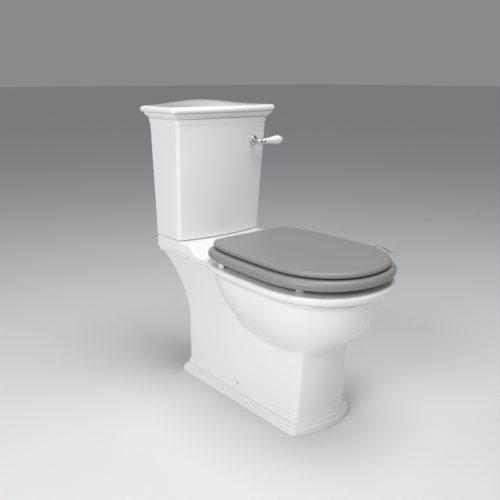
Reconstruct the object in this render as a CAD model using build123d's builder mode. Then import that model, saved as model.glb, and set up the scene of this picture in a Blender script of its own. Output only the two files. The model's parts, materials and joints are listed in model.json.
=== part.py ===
"""Close coupled toilet: pan, cistern, seat with lid, flush lever and the valves inside.

Frame: origin on the floor, on the centreline, at the centre of the foot. +Z is up, the front faces -Y,
and +X is to the right of someone who looks at the front. Millimetres.
"""

import math
import os

from build123d import *

os.makedirs("parts", exist_ok=True)

# ---------------------------------------------------------------- driving dimensions: pan
FOOT_HALF_WIDTH = 106.5
FOOT_REAR = 262.0
FOOT_CORNER = -232.5  # y of the front corners of the foot
FOOT_APEX = -262.0  # y of the bowed front, on the centreline
FOOT_BAND = 20.0  # height of the upright band of the foot
FOOT_TOP = 41.0  # top of the foot's mouldings, where the pedestal starts

PEDESTAL_HALF_WIDTH = 91.5
PEDESTAL_BOW = 20.0  # how far the bowed front stands out past its corners
PEDESTAL_TAPER_END = 40.0  # from here forwards the pedestal narrows
INNER_TAPER_END = -40.0  # and from here its hollow
FRONT_HALF_LOW = 88.0  # half width at the front corners, at the foot and under the bowl
FRONT_HALF_HIGH = 82.0
PEDESTAL_CORNER_LOW = -228.0
PEDESTAL_CORNER_HIGH = -236.0
PEDESTAL_REAR = 241.0
FLARE_START = 185.0  # height where the pedestal's sides and back start to sweep outwards
FLARE_TOP = 388.0
WALL = 12.0  # thickness of the ceramic
REAR_RADIUS = 4.0  # of the upright corners at the back

SHELF_HALF_WIDTH = 146.0
SHELF_REAR = 324.0
SHELF_TOP = 434.0
SHELF_BAND_BOTTOM = 396.0
SHELF_THICKNESS = 18.0
RAMP_FRONT = 108.0  # where the rim starts to rise to the shelf
RAMP_REAR = 168.0

RIM_TOP = 407.0
RIM_HALF_WIDTH = 179.3
RIM_FRONT = -396.6
RIM_REAR = 90.0
OVOLO_BOTTOM = 381.0
BEAD_BOTTOM = 373.0
BOWL_HALF_WIDTH = 150.0
BOWL_FRONT = -372.0
BOWL_REAR = 70.0
BOWL_CENTRE = -157.0
BOWL_DEPTH = 205.0
BOWL_EXPONENT = 1.8

OUTLET_HEIGHT = 185.0
OUTLET_RADIUS = 51.0
OUTLET_END = 284.0
OUTLET_LENGTH = 40.0

SIDE_HOLE_Y = 10.0
SIDE_HOLE_Z = 51.0
SIDE_HOLE_RADIUS = 4.2

# ---------------------------------------------------------------- driving dimensions: cistern
CISTERN_BOTTOM = SHELF_TOP + 0.3
CISTERN_TOP = 774.0
CISTERN_LEDGE = 757.0  # where the walls flare out to meet the lid
CISTERN_REAR = 322.0
CISTERN_HALF_LOW = 145.5
CISTERN_HALF_HIGH = 156.5
CISTERN_CORNER_LOW = 206.0
CISTERN_CORNER_HIGH = 181.0
CISTERN_BOW = 20.0
CISTERN_WALL = 10.0
CISTERN_FLOOR = 12.0
CISTERN_RADIUS = 10.0

LID_NOSE_HALF = 181.0
LID_REAR = 334.0
LID_CORNER = 164.0
LID_BOW = 20.0
LID_REAR_RADIUS = 8.0
NOSE_BOTTOM = 790.0
NOSE_TOP = 808.0
LID_CROWN = 822.0

VALVE_Y = 254.0  # flush valve and coupling bolts
COUPLING_X = 74.0
INLET_X = -88.0
INLET_Y = 285.0
INLET_RADIUS = 10.4
WALL_HOLE_X = 100.0
WALL_HOLE_Z = 690.0

# ---------------------------------------------------------------- driving dimensions: seat
SEAT_WIDEST = -201.0
RING_HALF_WIDTH = 179.9
RING_FRONT = -395.0
RING_REAR = 79.0
RING_BOTTOM = 422.0
RING_TOP = 446.0
RING_BAR = 66.0  # width of the ring's bar
RING_TOP_RADIUS = 12.5
RING_BOTTOM_RADIUS = 9.0
LID_HALF_WIDTH = 161.2
LID_FRONT = -385.5
SEAT_LID_REAR = 75.3
LID_BOTTOM = 450.5
LID_EDGE_TOP = 462.0
LID_DOME = 466.5

HINGE_Y = 88.0
HINGE_Z = 446.0
HINGE_X = 77.0
PIN_RADIUS = 3.5
KNUCKLE_RADIUS = 7.0
RUNNING = 0.06  # radial clearance of a running fit
LEAF_THICKNESS = 2.5
LEAF_WIDTH = 11.0
POST_RADIUS = 8.0
PIN_HALF_LENGTH = 22.0

# ---------------------------------------------------------------- driving dimensions: lever
LEVER_X = 101.0
LEVER_Z = 706.0
HUB_REACH = 26.0  # from the cistern's face to the middle of the hub
HANDLE_START = 20.0
HANDLE_END = 107.0
HANDLE_WIDEST = 79.0  # from the spindle to the handle's thickest place
HANDLE_BASE_RADIUS = 7.6
HANDLE_RADIUS = 12.8
SPINDLE_RADIUS = 4.0

SPINDLE_SLEEVE = 8.0  # radius of the escutcheon's threaded sleeve
WALL_HOLE_RADIUS = 4.0
LID_LIP = 6.0

# ---------------------------------------------------------------- driving dimensions: valves
VALVE_TAIL_RADIUS = 27.0


INLET_END = 384.0  # lower end of the threaded water inlet

# ---------------------------------------------------------------- driving dimensions: floor brackets
BRACKET_OUTER = 79.2
BRACKET_THICKNESS = 6.0
FLOOR_SCREW_X = 58.0
FLOOR_SCREW_RADIUS = 4.0

# the lever stands square to the bowed, leaning face of the cistern
lever_share = (LEVER_Z - CISTERN_BOTTOM) / (CISTERN_LEDGE - CISTERN_BOTTOM)
lever_half = CISTERN_HALF_LOW + lever_share * (CISTERN_HALF_HIGH - CISTERN_HALF_LOW)
lever_corner = CISTERN_CORNER_LOW + lever_share * (CISTERN_CORNER_HIGH - CISTERN_CORNER_LOW)
bow_radius = (lever_half**2 + CISTERN_BOW**2) / (2 * CISTERN_BOW)
lever_y = lever_corner - CISTERN_BOW + bow_radius - math.sqrt(bow_radius**2 - LEVER_X**2)
slope_x = LEVER_X / math.sqrt(bow_radius**2 - LEVER_X**2)
slope_z = (CISTERN_CORNER_HIGH - CISTERN_CORNER_LOW) / (CISTERN_LEDGE - CISTERN_BOTTOM)
lever_plane = Plane(
    origin=(LEVER_X, lever_y, LEVER_Z),
    x_dir=(1, slope_x, 0),
    z_dir=(slope_x, -1, slope_z),
)


# ---------------------------------------------------------------- outlines
def oval(half_width, front, rear, widest=SEAT_WIDEST, mode=Mode.ADD):
    """Egg-shaped outline with a full front and a straight rear, as used by rim, bowl and seat."""
    fullness = 0.61
    with BuildLine() as outline:
        Bezier(
            (0, front),
            (fullness * half_width, front),
            (half_width, widest + fullness * (front - widest)),
            (half_width, widest),
        )
        Bezier(
            (half_width, widest),
            (half_width, widest + 0.82 * (rear - widest)),
            (0.92 * half_width, rear),
            (0.57 * half_width, rear),
        )
        Line((0.57 * half_width, rear), (-0.57 * half_width, rear))
        Bezier(
            (-0.57 * half_width, rear),
            (-0.92 * half_width, rear),
            (-half_width, widest + 0.82 * (rear - widest)),
            (-half_width, widest),
        )
        Bezier(
            (-half_width, widest),
            (-half_width, widest + fullness * (front - widest)),
            (-fullness * half_width, front),
            (0, front),
        )
    make_face(outline.edges(), mode=mode)


def bowed(half_width, rear, corner, bow, radius, rear_radius=REAR_RADIUS):
    """Rectangle whose front edge bows outwards, its corners rounded."""
    with BuildLine() as outline:
        Line((-half_width, corner), (-half_width, rear))
        Line((-half_width, rear), (half_width, rear))
        Line((half_width, rear), (half_width, corner))
        ThreePointArc((half_width, corner), (0, corner - bow), (-half_width, corner))
    face = make_face(outline.edges())
    fillet(face.vertices().sort_by(Axis.Y)[:2], radius)
    fillet(face.vertices().sort_by(Axis.Y)[-2:], rear_radius)


def hexagon(radius, mode=Mode.ADD):
    """Six-sided outline of a nut, by its corner radius."""
    RegularPolygon(radius, 6, mode=mode)


# ---------------------------------------------------------------- pan
def bowl_share(height):
    """How much of the bowl's full outline is left at a height below its top."""
    drop = (BEAD_BOTTOM - height) / BOWL_DEPTH
    return (1 - drop**BOWL_EXPONENT) ** (1 / BOWL_EXPONENT)


def bowl_section(height):
    """One outline of the bowl's outside."""
    share = bowl_share(height)
    oval(
        BOWL_HALF_WIDTH * share,
        BOWL_CENTRE + (BOWL_FRONT - BOWL_CENTRE) * share,
        BOWL_CENTRE + (BOWL_REAR - BOWL_CENTRE) * share,
        BOWL_CENTRE,
    )


# height, half width, front, rear and widest place of the bowl's inside, from the rim to the sump
BOWL_INSIDE = [
    (RIM_TOP + 1, 116.0, -332.0, -6.0, -185.0),
    (370.0, 120.0, -338.0, 0.0, -185.0),
    (310.0, 104.0, -306.0, 0.0, -165.0),
    (250.0, 74.0, -250.0, -14.0, -140.0),
    (200.0, 50.0, -196.0, -34.0, -115.0),
    (150.0, 38.0, -150.0, -62.0, -106.0),
]
TRAP_BORE = 38.0
TRAP_WALL = 10.0
TRAP_START = (-106.0, 160.0)  # y and z of the trap's mouth, in the sump
TRAP_CLOSED_START = (-117.8, 170.7)  # the tube's own end, far enough back to close the sump
TRAP_REST = [(-40, 100), (78, 232), (150, OUTLET_HEIGHT), (OUTLET_END, OUTLET_HEIGHT)]
TRAP_BEND = 62.0
CHANNEL_HALF_WIDTH = 30.0
CHANNEL_BOTTOM = 364.0
CHANNEL_TOP = 397.0
GASKET_RECESS = 46.0
GASKET_FLOOR = 409.0


def flare_profile(half_width, top_half_width):
    """Front view of the pedestal: upright sides that sweep outwards under the shelf."""
    with BuildLine() as outline:
        Line((half_width, -1), (half_width, FLARE_START))
        Bezier(
            (half_width, FLARE_START),
            (half_width, FLARE_START + 80),
            (half_width + 0.6 * (top_half_width - half_width), FLARE_TOP - 38),
            (top_half_width, FLARE_TOP),
        )
        Line((top_half_width, FLARE_TOP), (top_half_width, SHELF_TOP + 1))
        Line((top_half_width, SHELF_TOP + 1), (0, SHELF_TOP + 1))
        Line((0, SHELF_TOP + 1), (0, -1))
        Line((0, -1), (half_width, -1))
    face = make_face(outline.edges())
    mirror(face, about=Plane.YZ)


def pedestal_plan(side_half, rear, front_half, corner):
    """Outline of the pedestal: straight rear half, narrowing to a bowed front."""
    with BuildLine() as outline:
        Polyline(
            (-front_half, corner),
            (-side_half, PEDESTAL_TAPER_END),
            (-side_half, rear),
            (side_half, rear),
            (side_half, PEDESTAL_TAPER_END),
            (front_half, corner),
        )
        ThreePointArc((front_half, corner), (0, corner - PEDESTAL_BOW), (-front_half, corner))
    face = make_face(outline.edges())
    fillet(face.vertices().sort_by(Axis.Y)[:2], 8)


def flare_section(step):
    """Height, half width and rear of the flared part, for a step from 0 at its start to 1 at its top."""
    weights = ((1 - step) ** 3, 3 * step * (1 - step) ** 2, 3 * step**2 * (1 - step), step**3)
    spread = SHELF_HALF_WIDTH - 10 - PEDESTAL_HALF_WIDTH
    sweep_back = SHELF_REAR - 10 - PEDESTAL_REAR
    heights = (FLARE_START, FLARE_START + 77, FLARE_TOP - 38, FLARE_TOP)
    halves = (0, 0, 0.6 * spread, spread)
    rears = (0, 0, 0.56 * sweep_back, sweep_back)
    return (
        sum(w * v for w, v in zip(weights, heights)),
        PEDESTAL_HALF_WIDTH + sum(w * v for w, v in zip(weights, halves)),
        PEDESTAL_REAR + sum(w * v for w, v in zip(weights, rears)),
    )


with BuildPart() as pedestal:
    with BuildSketch(Plane.XY.offset(FOOT_TOP - 3)):
        pedestal_plan(PEDESTAL_HALF_WIDTH, PEDESTAL_REAR, FRONT_HALF_LOW, PEDESTAL_CORNER_LOW)
    with BuildSketch(Plane.XY.offset(FLARE_START)):
        pedestal_plan(PEDESTAL_HALF_WIDTH, PEDESTAL_REAR, FRONT_HALF_HIGH, PEDESTAL_CORNER_HIGH)
    loft()
    for step in (0, 0.25, 0.5, 0.75, 1):
        height, half, rear = flare_section(step)
        with BuildSketch(Plane.XY.offset(height)):
            pedestal_plan(half, rear, FRONT_HALF_HIGH, PEDESTAL_CORNER_HIGH)
    loft()

with BuildPart() as bowl_shell:
    for height, half_width, front, rear, widest in BOWL_INSIDE:
        with BuildSketch(Plane.XY.offset(height)):
            oval(half_width + WALL, front - WALL, rear + WALL, widest)
    loft()
    extrude(bowl_shell.faces().sort_by(Axis.Z)[0], amount=WALL)

with BuildPart() as bowl_inside:
    for height, half_width, front, rear, widest in BOWL_INSIDE:
        with BuildSketch(Plane.XY.offset(height)):
            oval(half_width, front, rear, widest)
    loft()

with BuildPart() as trap_outside:
    with BuildLine(Plane.YZ) as trap_path:
        FilletPolyline(TRAP_CLOSED_START, *TRAP_REST, radius=TRAP_BEND)
    with BuildSketch(Plane(origin=trap_path.line @ 0, z_dir=trap_path.line % 0)):
        Circle(TRAP_BORE + TRAP_WALL)
    sweep()
    with BuildSketch(Plane.XZ.offset(-OUTLET_END)):
        with Locations((0, OUTLET_HEIGHT)):
            Circle(OUTLET_RADIUS)
    extrude(amount=OUTLET_LENGTH)

with BuildPart() as trap_inside:
    with BuildLine(Plane.YZ) as bore_path:
        FilletPolyline(TRAP_START, *TRAP_REST, radius=TRAP_BEND)
    with BuildSketch(Plane(origin=bore_path.line @ 0, z_dir=bore_path.line % 0)):
        Circle(TRAP_BORE)
    sweep()
    with BuildSketch(Plane.XZ.offset(-OUTLET_END - 1)):
        with Locations((0, OUTLET_HEIGHT)):
            Circle(OUTLET_RADIUS - 7)
    extrude(amount=OUTLET_LENGTH)

# the space under the bowl and shelf, open at the floor and at the back
with BuildPart() as underside:
    with BuildSketch(Plane.YZ):
        with BuildLine():
            Polyline(
                (-222, -1),
                (-232, 200),
                (-120, 200),
                (-20, 300),
                (26, RIM_TOP - 15),
                (RAMP_FRONT, RIM_TOP - 15),
                (RAMP_REAR, SHELF_TOP - SHELF_THICKNESS),
                (SHELF_REAR - WALL, SHELF_TOP - SHELF_THICKNESS),
                (SHELF_REAR - WALL, FLARE_TOP - WALL),
                (SHELF_REAR + 20, FLARE_TOP - WALL),
                (SHELF_REAR + 20, -1),
                close=True,
            )
        make_face()
    extrude(amount=SHELF_HALF_WIDTH, both=True)
    with BuildSketch(Plane.XZ):
        flare_profile(PEDESTAL_HALF_WIDTH - WALL, SHELF_HALF_WIDTH - 10 - WALL)
    extrude(amount=SHELF_REAR + 30, both=True, mode=Mode.INTERSECT)
    # its plan, narrowing with the pedestal
    with BuildSketch(Plane.XY.offset(-1)):
        with BuildLine():
            inner_half = PEDESTAL_HALF_WIDTH - WALL
            Polyline(
                (-FRONT_HALF_HIGH + WALL, -240),
                (-inner_half, INNER_TAPER_END),
                (-inner_half, PEDESTAL_TAPER_END),
                (-SHELF_HALF_WIDTH, PEDESTAL_TAPER_END),
                (-SHELF_HALF_WIDTH, SHELF_REAR + 30),
                (SHELF_HALF_WIDTH, SHELF_REAR + 30),
                (SHELF_HALF_WIDTH, PEDESTAL_TAPER_END),
                (inner_half, PEDESTAL_TAPER_END),
                (inner_half, INNER_TAPER_END),
                (FRONT_HALF_HIGH - WALL, -240),
                close=True,
            )
        make_face()
    extrude(amount=SHELF_TOP + 10, mode=Mode.INTERSECT)
    add(bowl_shell.part, mode=Mode.SUBTRACT)
    with BuildSketch(Plane.XY.offset(CHANNEL_BOTTOM - WALL)):
        with Locations((0, VALVE_Y / 2)):
            SlotOverall(VALVE_Y + 2 * CHANNEL_HALF_WIDTH + 2 * WALL, 2 * (CHANNEL_HALF_WIDTH + WALL), 90)
    extrude(amount=SHELF_TOP - CHANNEL_BOTTOM, mode=Mode.SUBTRACT)
    with BuildSketch(Plane.XY.offset(GASKET_FLOOR - WALL)):
        with Locations((0, VALVE_Y)):
            Circle(GASKET_RECESS + 8)
    extrude(amount=SHELF_TOP - GASKET_FLOOR, mode=Mode.SUBTRACT)

with BuildPart() as pan:
    # foot: an upright band, a rounded step and a cove that rises to the pedestal
    with BuildSketch():
        bowed(FOOT_HALF_WIDTH, FOOT_REAR, FOOT_CORNER, FOOT_CORNER - FOOT_APEX, 9)
    extrude(amount=FOOT_BAND)
    fillet(pan.faces().sort_by(Axis.Z)[-1].edges(), 3)
    with BuildSketch(Plane.XY.offset(FOOT_BAND)):
        bowed(FOOT_HALF_WIDTH - 5, FOOT_REAR - 5, FOOT_CORNER + 3, FOOT_CORNER - FOOT_APEX - 1, 9)
    extrude(amount=9)
    fillet(pan.faces().sort_by(Axis.Z)[-1].edges(), 4)
    with BuildSketch(Plane.XY.offset(FOOT_BAND + 9)):
        bowed(FOOT_HALF_WIDTH - 10, FOOT_REAR - 12, FOOT_CORNER + 2, PEDESTAL_BOW + 2, 9)
    with BuildSketch(Plane.XY.offset(FOOT_TOP)):
        bowed(PEDESTAL_HALF_WIDTH, PEDESTAL_REAR + 3, PEDESTAL_CORNER_LOW, PEDESTAL_BOW, 8)
    loft()
    add(pedestal.part)
    # bowl
    for height in (BEAD_BOTTOM, 357, 330, 298, 262, 228, 196):
        with BuildSketch(Plane.XY.offset(height)):
            bowl_section(height)
    loft()
    # bead under the rim
    with BuildSketch(Plane.XY.offset(BEAD_BOTTOM)):
        oval(BOWL_HALF_WIDTH + 4, BOWL_FRONT - 4, RIM_REAR - 24)
    extrude(amount=OVOLO_BOTTOM - BEAD_BOTTOM)
    # rim, swelling outwards to its widest just under the top
    for height, inset in ((OVOLO_BOTTOM, 26.0), (386, 12.0), (393, 4.0), (402, 0.0), (RIM_TOP, 3.5)):
        with BuildSketch(Plane.XY.offset(height)):
            oval(RIM_HALF_WIDTH - inset, RIM_FRONT + 0.9 * inset, RIM_REAR - 0.4 * inset)
    loft()
    # shelf that carries the cistern, with a step under its band
    with BuildSketch(Plane.XY.offset(FLARE_TOP)):
        with Locations((0, (SHELF_REAR - 5) / 2)):
            Rectangle(2 * SHELF_HALF_WIDTH - 10, SHELF_REAR - 5)
    extrude(amount=SHELF_BAND_BOTTOM - FLARE_TOP)
    with BuildSketch(Plane.YZ):
        with BuildLine():
            Line((0, SHELF_BAND_BOTTOM), (SHELF_REAR, SHELF_BAND_BOTTOM))
            Line((SHELF_REAR, SHELF_BAND_BOTTOM), (SHELF_REAR, SHELF_TOP))
            Line((SHELF_REAR, SHELF_TOP), (RAMP_REAR, SHELF_TOP))
            Bezier(
                (RAMP_REAR, SHELF_TOP),
                (RAMP_REAR - 28, SHELF_TOP),
                (RAMP_FRONT + 28, RIM_TOP),
                (RAMP_FRONT, RIM_TOP),
            )
            Line((RAMP_FRONT, RIM_TOP), (0, RIM_TOP))
            Line((0, RIM_TOP), (0, SHELF_BAND_BOTTOM))
        make_face()
    extrude(amount=SHELF_HALF_WIDTH, both=True)
    # hollows, with the trap and outlet standing in them
    add(underside.part, mode=Mode.SUBTRACT)
    add(trap_outside.part)
    add(bowl_inside.part, mode=Mode.SUBTRACT)
    add(trap_inside.part, mode=Mode.SUBTRACT)
    with BuildSketch(Plane.XY.offset(CHANNEL_BOTTOM)):
        with Locations((0, VALVE_Y / 2)):
            SlotOverall(VALVE_Y + 2 * CHANNEL_HALF_WIDTH, 2 * CHANNEL_HALF_WIDTH, 90)
    extrude(amount=CHANNEL_TOP - CHANNEL_BOTTOM, mode=Mode.SUBTRACT)
    with BuildSketch(Plane.XY.offset(GASKET_FLOOR)):
        with Locations((0, VALVE_Y)):
            Circle(GASKET_RECESS)
    extrude(amount=SHELF_TOP - GASKET_FLOOR + 1, mode=Mode.SUBTRACT)
    with BuildSketch(Plane.XY.offset(CHANNEL_BOTTOM + 5)):
        with Locations((0, VALVE_Y)):
            Circle(CHANNEL_HALF_WIDTH)
    extrude(amount=SHELF_TOP - CHANNEL_BOTTOM, mode=Mode.SUBTRACT)
    # holes: cistern bolts, water inlet, seat studs and the floor brackets' side screws
    with BuildSketch(Plane.XY.offset(FLARE_TOP - 20)):
        with Locations((-COUPLING_X, VALVE_Y), (COUPLING_X, VALVE_Y)):
            Circle(6)
        with Locations((INLET_X, INLET_Y)):
            Circle(20)
        with Locations((-HINGE_X, HINGE_Y), (HINGE_X, HINGE_Y)):
            Circle(7)
    extrude(amount=SHELF_TOP - FLARE_TOP + 30, mode=Mode.SUBTRACT)
    with BuildSketch(Plane.YZ.offset(-FOOT_HALF_WIDTH)):
        with Locations((SIDE_HOLE_Y, SIDE_HOLE_Z)):
            Circle(SIDE_HOLE_RADIUS)
    extrude(amount=2 * FOOT_HALF_WIDTH, mode=Mode.SUBTRACT)
pan.part.label = "pan"
export_step(pan.part, "parts/pan.step")


# ---------------------------------------------------------------- cistern
def cistern_share(height):
    """How far up the cistern's tapering wall a height is, from 0 to 1."""
    return (height - CISTERN_BOTTOM) / (CISTERN_LEDGE - CISTERN_BOTTOM)


def cistern_section(height, inset=0.0, radius=CISTERN_RADIUS):
    """One outline of the cistern at a height, moved inwards by an inset."""
    share = cistern_share(height)
    half_width = CISTERN_HALF_LOW + share * (CISTERN_HALF_HIGH - CISTERN_HALF_LOW)
    corner = CISTERN_CORNER_LOW + share * (CISTERN_CORNER_HIGH - CISTERN_CORNER_LOW)
    bowed(half_width - inset, CISTERN_REAR - inset, corner + inset, CISTERN_BOW, max(radius - inset, 3))


with BuildPart() as cistern:
    for height in (CISTERN_BOTTOM, CISTERN_LEDGE):
        with BuildSketch(Plane.XY.offset(height)):
            cistern_section(height)
    loft()
    with BuildSketch(Plane.XY.offset(CISTERN_LEDGE)):
        cistern_section(CISTERN_LEDGE)
    with BuildSketch(Plane.XY.offset(CISTERN_TOP)):
        cistern_section(CISTERN_LEDGE, -3.5, CISTERN_RADIUS)
    loft()
    with BuildSketch(Plane.XY.offset(CISTERN_BOTTOM + CISTERN_FLOOR)):
        cistern_section(CISTERN_BOTTOM + CISTERN_FLOOR, CISTERN_WALL)
    with BuildSketch(Plane.XY.offset(CISTERN_TOP + 1)):
        cistern_section(CISTERN_LEDGE, CISTERN_WALL - 1)
    loft(mode=Mode.SUBTRACT)
    with BuildSketch(Plane.XY.offset(CISTERN_BOTTOM - 1)):
        with Locations((0, VALVE_Y)):
            Circle(VALVE_TAIL_RADIUS + 1.5)
        with Locations((-COUPLING_X, VALVE_Y), (COUPLING_X, VALVE_Y)):
            Circle(5)
        with Locations((INLET_X, INLET_Y)):
            Circle(INLET_RADIUS + 1)
    extrude(amount=CISTERN_FLOOR + 2, mode=Mode.SUBTRACT)
    with BuildSketch(lever_plane.offset(-25)):
        Circle(SPINDLE_SLEEVE + 1)
    extrude(amount=30, mode=Mode.SUBTRACT)
    with BuildSketch(Plane.XZ.offset(-CISTERN_REAR - 1)):
        with Locations((-WALL_HOLE_X, WALL_HOLE_Z), (WALL_HOLE_X, WALL_HOLE_Z)):
            Circle(WALL_HOLE_RADIUS)
    extrude(amount=CISTERN_WALL + 3, mode=Mode.SUBTRACT)
cistern.part.label = "cistern"
export_step(cistern.part, "parts/cistern.step")

with BuildPart() as cistern_lid:
    # ogee under the nose, the rounded nose itself, then a raised crown
    lid_base = CISTERN_TOP + 0.4
    crown_half = LID_NOSE_HALF + 6
    crown_control = NOSE_TOP + (LID_CROWN - NOSE_TOP) * 64 / 50  # the curve reaches 50/64 of its controls
    for height, inset in ((lid_base, 18.0), (lid_base + 3, 17.0), (lid_base + 9, 12.0), (NOSE_BOTTOM, 8.0)):
        with BuildSketch(Plane.XY.offset(height)):
            bowed(LID_NOSE_HALF - inset, LID_REAR - 0.6 * inset, LID_CORNER + inset, LID_BOW, 12, LID_REAR_RADIUS)
    loft()
    with BuildSketch(Plane.XY.offset(NOSE_BOTTOM)):
        bowed(LID_NOSE_HALF, LID_REAR, LID_CORNER, LID_BOW, 14, LID_REAR_RADIUS)
    extrude(amount=LID_CROWN - NOSE_BOTTOM + 4)
    with BuildSketch(Plane.XZ.offset(-LID_REAR - 5)):
        with BuildLine():
            Line((-crown_half, LID_CROWN + 10), (-crown_half, NOSE_TOP))
            Bezier(
                (-crown_half, NOSE_TOP),
                (-0.45 * crown_half, NOSE_TOP),
                (-0.45 * crown_half, crown_control),
                (0, crown_control),
                (0.45 * crown_half, crown_control),
                (0.45 * crown_half, NOSE_TOP),
                (crown_half, NOSE_TOP),
            )
            Line((crown_half, NOSE_TOP), (crown_half, LID_CROWN + 10))
            Line((crown_half, LID_CROWN + 10), (-crown_half, LID_CROWN + 10))
        make_face()
    extrude(amount=LID_REAR, mode=Mode.SUBTRACT)
    fillet(cistern_lid.faces().sort_by(Axis.Z)[-1].edges(), 7)
    fillet(cistern_lid.faces().filter_by(Plane.XY).group_by(SortBy.AREA)[-1].edges(), 1)
    # hollow underside with a locating lip inside the cistern's mouth
    with BuildSketch(Plane.XY.offset(lid_base)):
        cistern_section(CISTERN_LEDGE, CISTERN_WALL + LID_LIP + 1)
    extrude(amount=NOSE_TOP - lid_base - 8, mode=Mode.SUBTRACT)
    with BuildSketch(Plane.XY.offset(lid_base - 12)):
        cistern_section(CISTERN_LEDGE, CISTERN_WALL + 1)
        offset(amount=-LID_LIP, mode=Mode.SUBTRACT)
    extrude(amount=13)
cistern_lid.part.label = "cistern_lid"
export_step(cistern_lid.part, "parts/cistern_lid.step")


# ---------------------------------------------------------------- seat ring and lid
LEAF_LENGTH = 46.0  # from the hinge axis forwards
LEAF_GAP = 0.4
RING_KNUCKLE_X = 15.0  # centre of the ring's knuckle, outboard of the post
LID_KNUCKLE_X = -15.0
KNUCKLE_WIDTH = 11.0
BUFFER_RADIUS = 7.0
RING_BUFFERS = [(-148, -8), (148, -8), (-124, -268), (124, -268)]
LID_BUFFERS = [(-112, -290), (112, -290)]
FAR_ROOT = (142.0, -204.0)  # where the lift handle's arms are screwed to the lid
NEAR_ROOT = (126.0, -270.0)
HANDLE_SCREW_RADIUS = 1.6
HANDLE_SCREW_LENGTH = 10.0
LEAF_SCREW_RADIUS = 2.0
LEAF_SCREW_LENGTH = 12.0
LEAF_SCREW_Y = HINGE_Y - LEAF_LENGTH + 8


def at_both_sides(x, y):
    """The same place on the left and on the right."""
    return Locations((-x, y), (x, y))


with BuildPart() as seat_ring:
    with BuildSketch(Plane.XY.offset(RING_BOTTOM)):
        oval(RING_HALF_WIDTH, RING_FRONT, RING_REAR)
        oval(RING_HALF_WIDTH - RING_BAR, RING_FRONT + RING_BAR, -28, -190, mode=Mode.SUBTRACT)
    extrude(amount=RING_TOP - RING_BOTTOM)
    top_edges = seat_ring.faces().sort_by(Axis.Z)[-1].edges()
    fillet(top_edges, RING_TOP_RADIUS)
    bottom_edges = seat_ring.faces().sort_by(Axis.Z)[0].edges()
    fillet(bottom_edges, RING_BOTTOM_RADIUS)
    # recesses for the leaves, and room for the posts and knuckles at the rear edge
    with BuildSketch(Plane.XY.offset(RING_TOP - LEAF_THICKNESS - LEAF_GAP)):
        with at_both_sides(HINGE_X + RING_KNUCKLE_X, HINGE_Y - LEAF_LENGTH / 2):
            Rectangle(LEAF_WIDTH + 1, LEAF_LENGTH + 1)
    extrude(amount=20, mode=Mode.SUBTRACT)
    with BuildSketch(Plane.XY.offset(RING_TOP)):
        with at_both_sides(HINGE_X + RING_KNUCKLE_X, LEAF_SCREW_Y):
            Circle(LEAF_SCREW_RADIUS)
    extrude(amount=-LEAF_SCREW_LENGTH - 1, mode=Mode.SUBTRACT)
seat_ring.part.label = "seat_ring"
export_step(seat_ring.part, "parts/seat_ring.step")

with BuildPart() as seat_lid:
    with BuildSketch(Plane.XY.offset(LID_BOTTOM)):
        oval(LID_HALF_WIDTH, LID_FRONT, SEAT_LID_REAR)
    extrude(amount=LID_EDGE_TOP - LID_BOTTOM)
    with BuildSketch(Plane.XY.offset(LID_EDGE_TOP)):
        oval(LID_HALF_WIDTH - 6, LID_FRONT + 6, SEAT_LID_REAR - 6)
    with BuildSketch(Plane.XY.offset(LID_DOME)):
        oval(LID_HALF_WIDTH - 66, LID_FRONT + 66, SEAT_LID_REAR - 66)
    loft()
    fillet(seat_lid.faces().sort_by(Axis.Z)[0].edges(), 3)
    with BuildSketch(Plane.XY.offset(LID_BOTTOM - 1)):
        with at_both_sides(HINGE_X + LID_KNUCKLE_X, HINGE_Y - LEAF_LENGTH / 2):
            Rectangle(LEAF_WIDTH + 1, LEAF_LENGTH + 1)
    extrude(amount=1 + LEAF_THICKNESS + LEAF_GAP, mode=Mode.SUBTRACT)
    with BuildSketch(Plane.XY.offset(LID_BOTTOM - 1)):
        with at_both_sides(HINGE_X + LID_KNUCKLE_X, LEAF_SCREW_Y):
            Circle(LEAF_SCREW_RADIUS)
        with Locations(FAR_ROOT, NEAR_ROOT):
            Circle(HANDLE_SCREW_RADIUS)
    extrude(amount=LEAF_SCREW_LENGTH, mode=Mode.SUBTRACT)
seat_lid.part.label = "seat_lid"
export_step(seat_lid.part, "parts/seat_lid.step")

with BuildPart() as ring_buffers:
    with BuildSketch(Plane.XY.offset(RIM_TOP + 0.1)):
        with Locations(*RING_BUFFERS):
            Circle(BUFFER_RADIUS)
    extrude(amount=RING_BOTTOM - RIM_TOP - 0.1)
    fillet(ring_buffers.faces().group_by(Axis.Z)[0].edges(), 1)
ring_buffers.part.label = "ring_buffers"
export_step(ring_buffers.part, "parts/ring_buffers.step")

with BuildPart() as lid_buffers:
    with BuildSketch(Plane.XY.offset(RING_TOP + 0.1)):
        with Locations(*LID_BUFFERS):
            Circle(BUFFER_RADIUS)
    extrude(amount=LID_BOTTOM - RING_TOP - 0.1)
    fillet(lid_buffers.faces().group_by(Axis.Z)[0].edges(), 1)
lid_buffers.part.label = "lid_buffers"
export_step(lid_buffers.part, "parts/lid_buffers.step")


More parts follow.
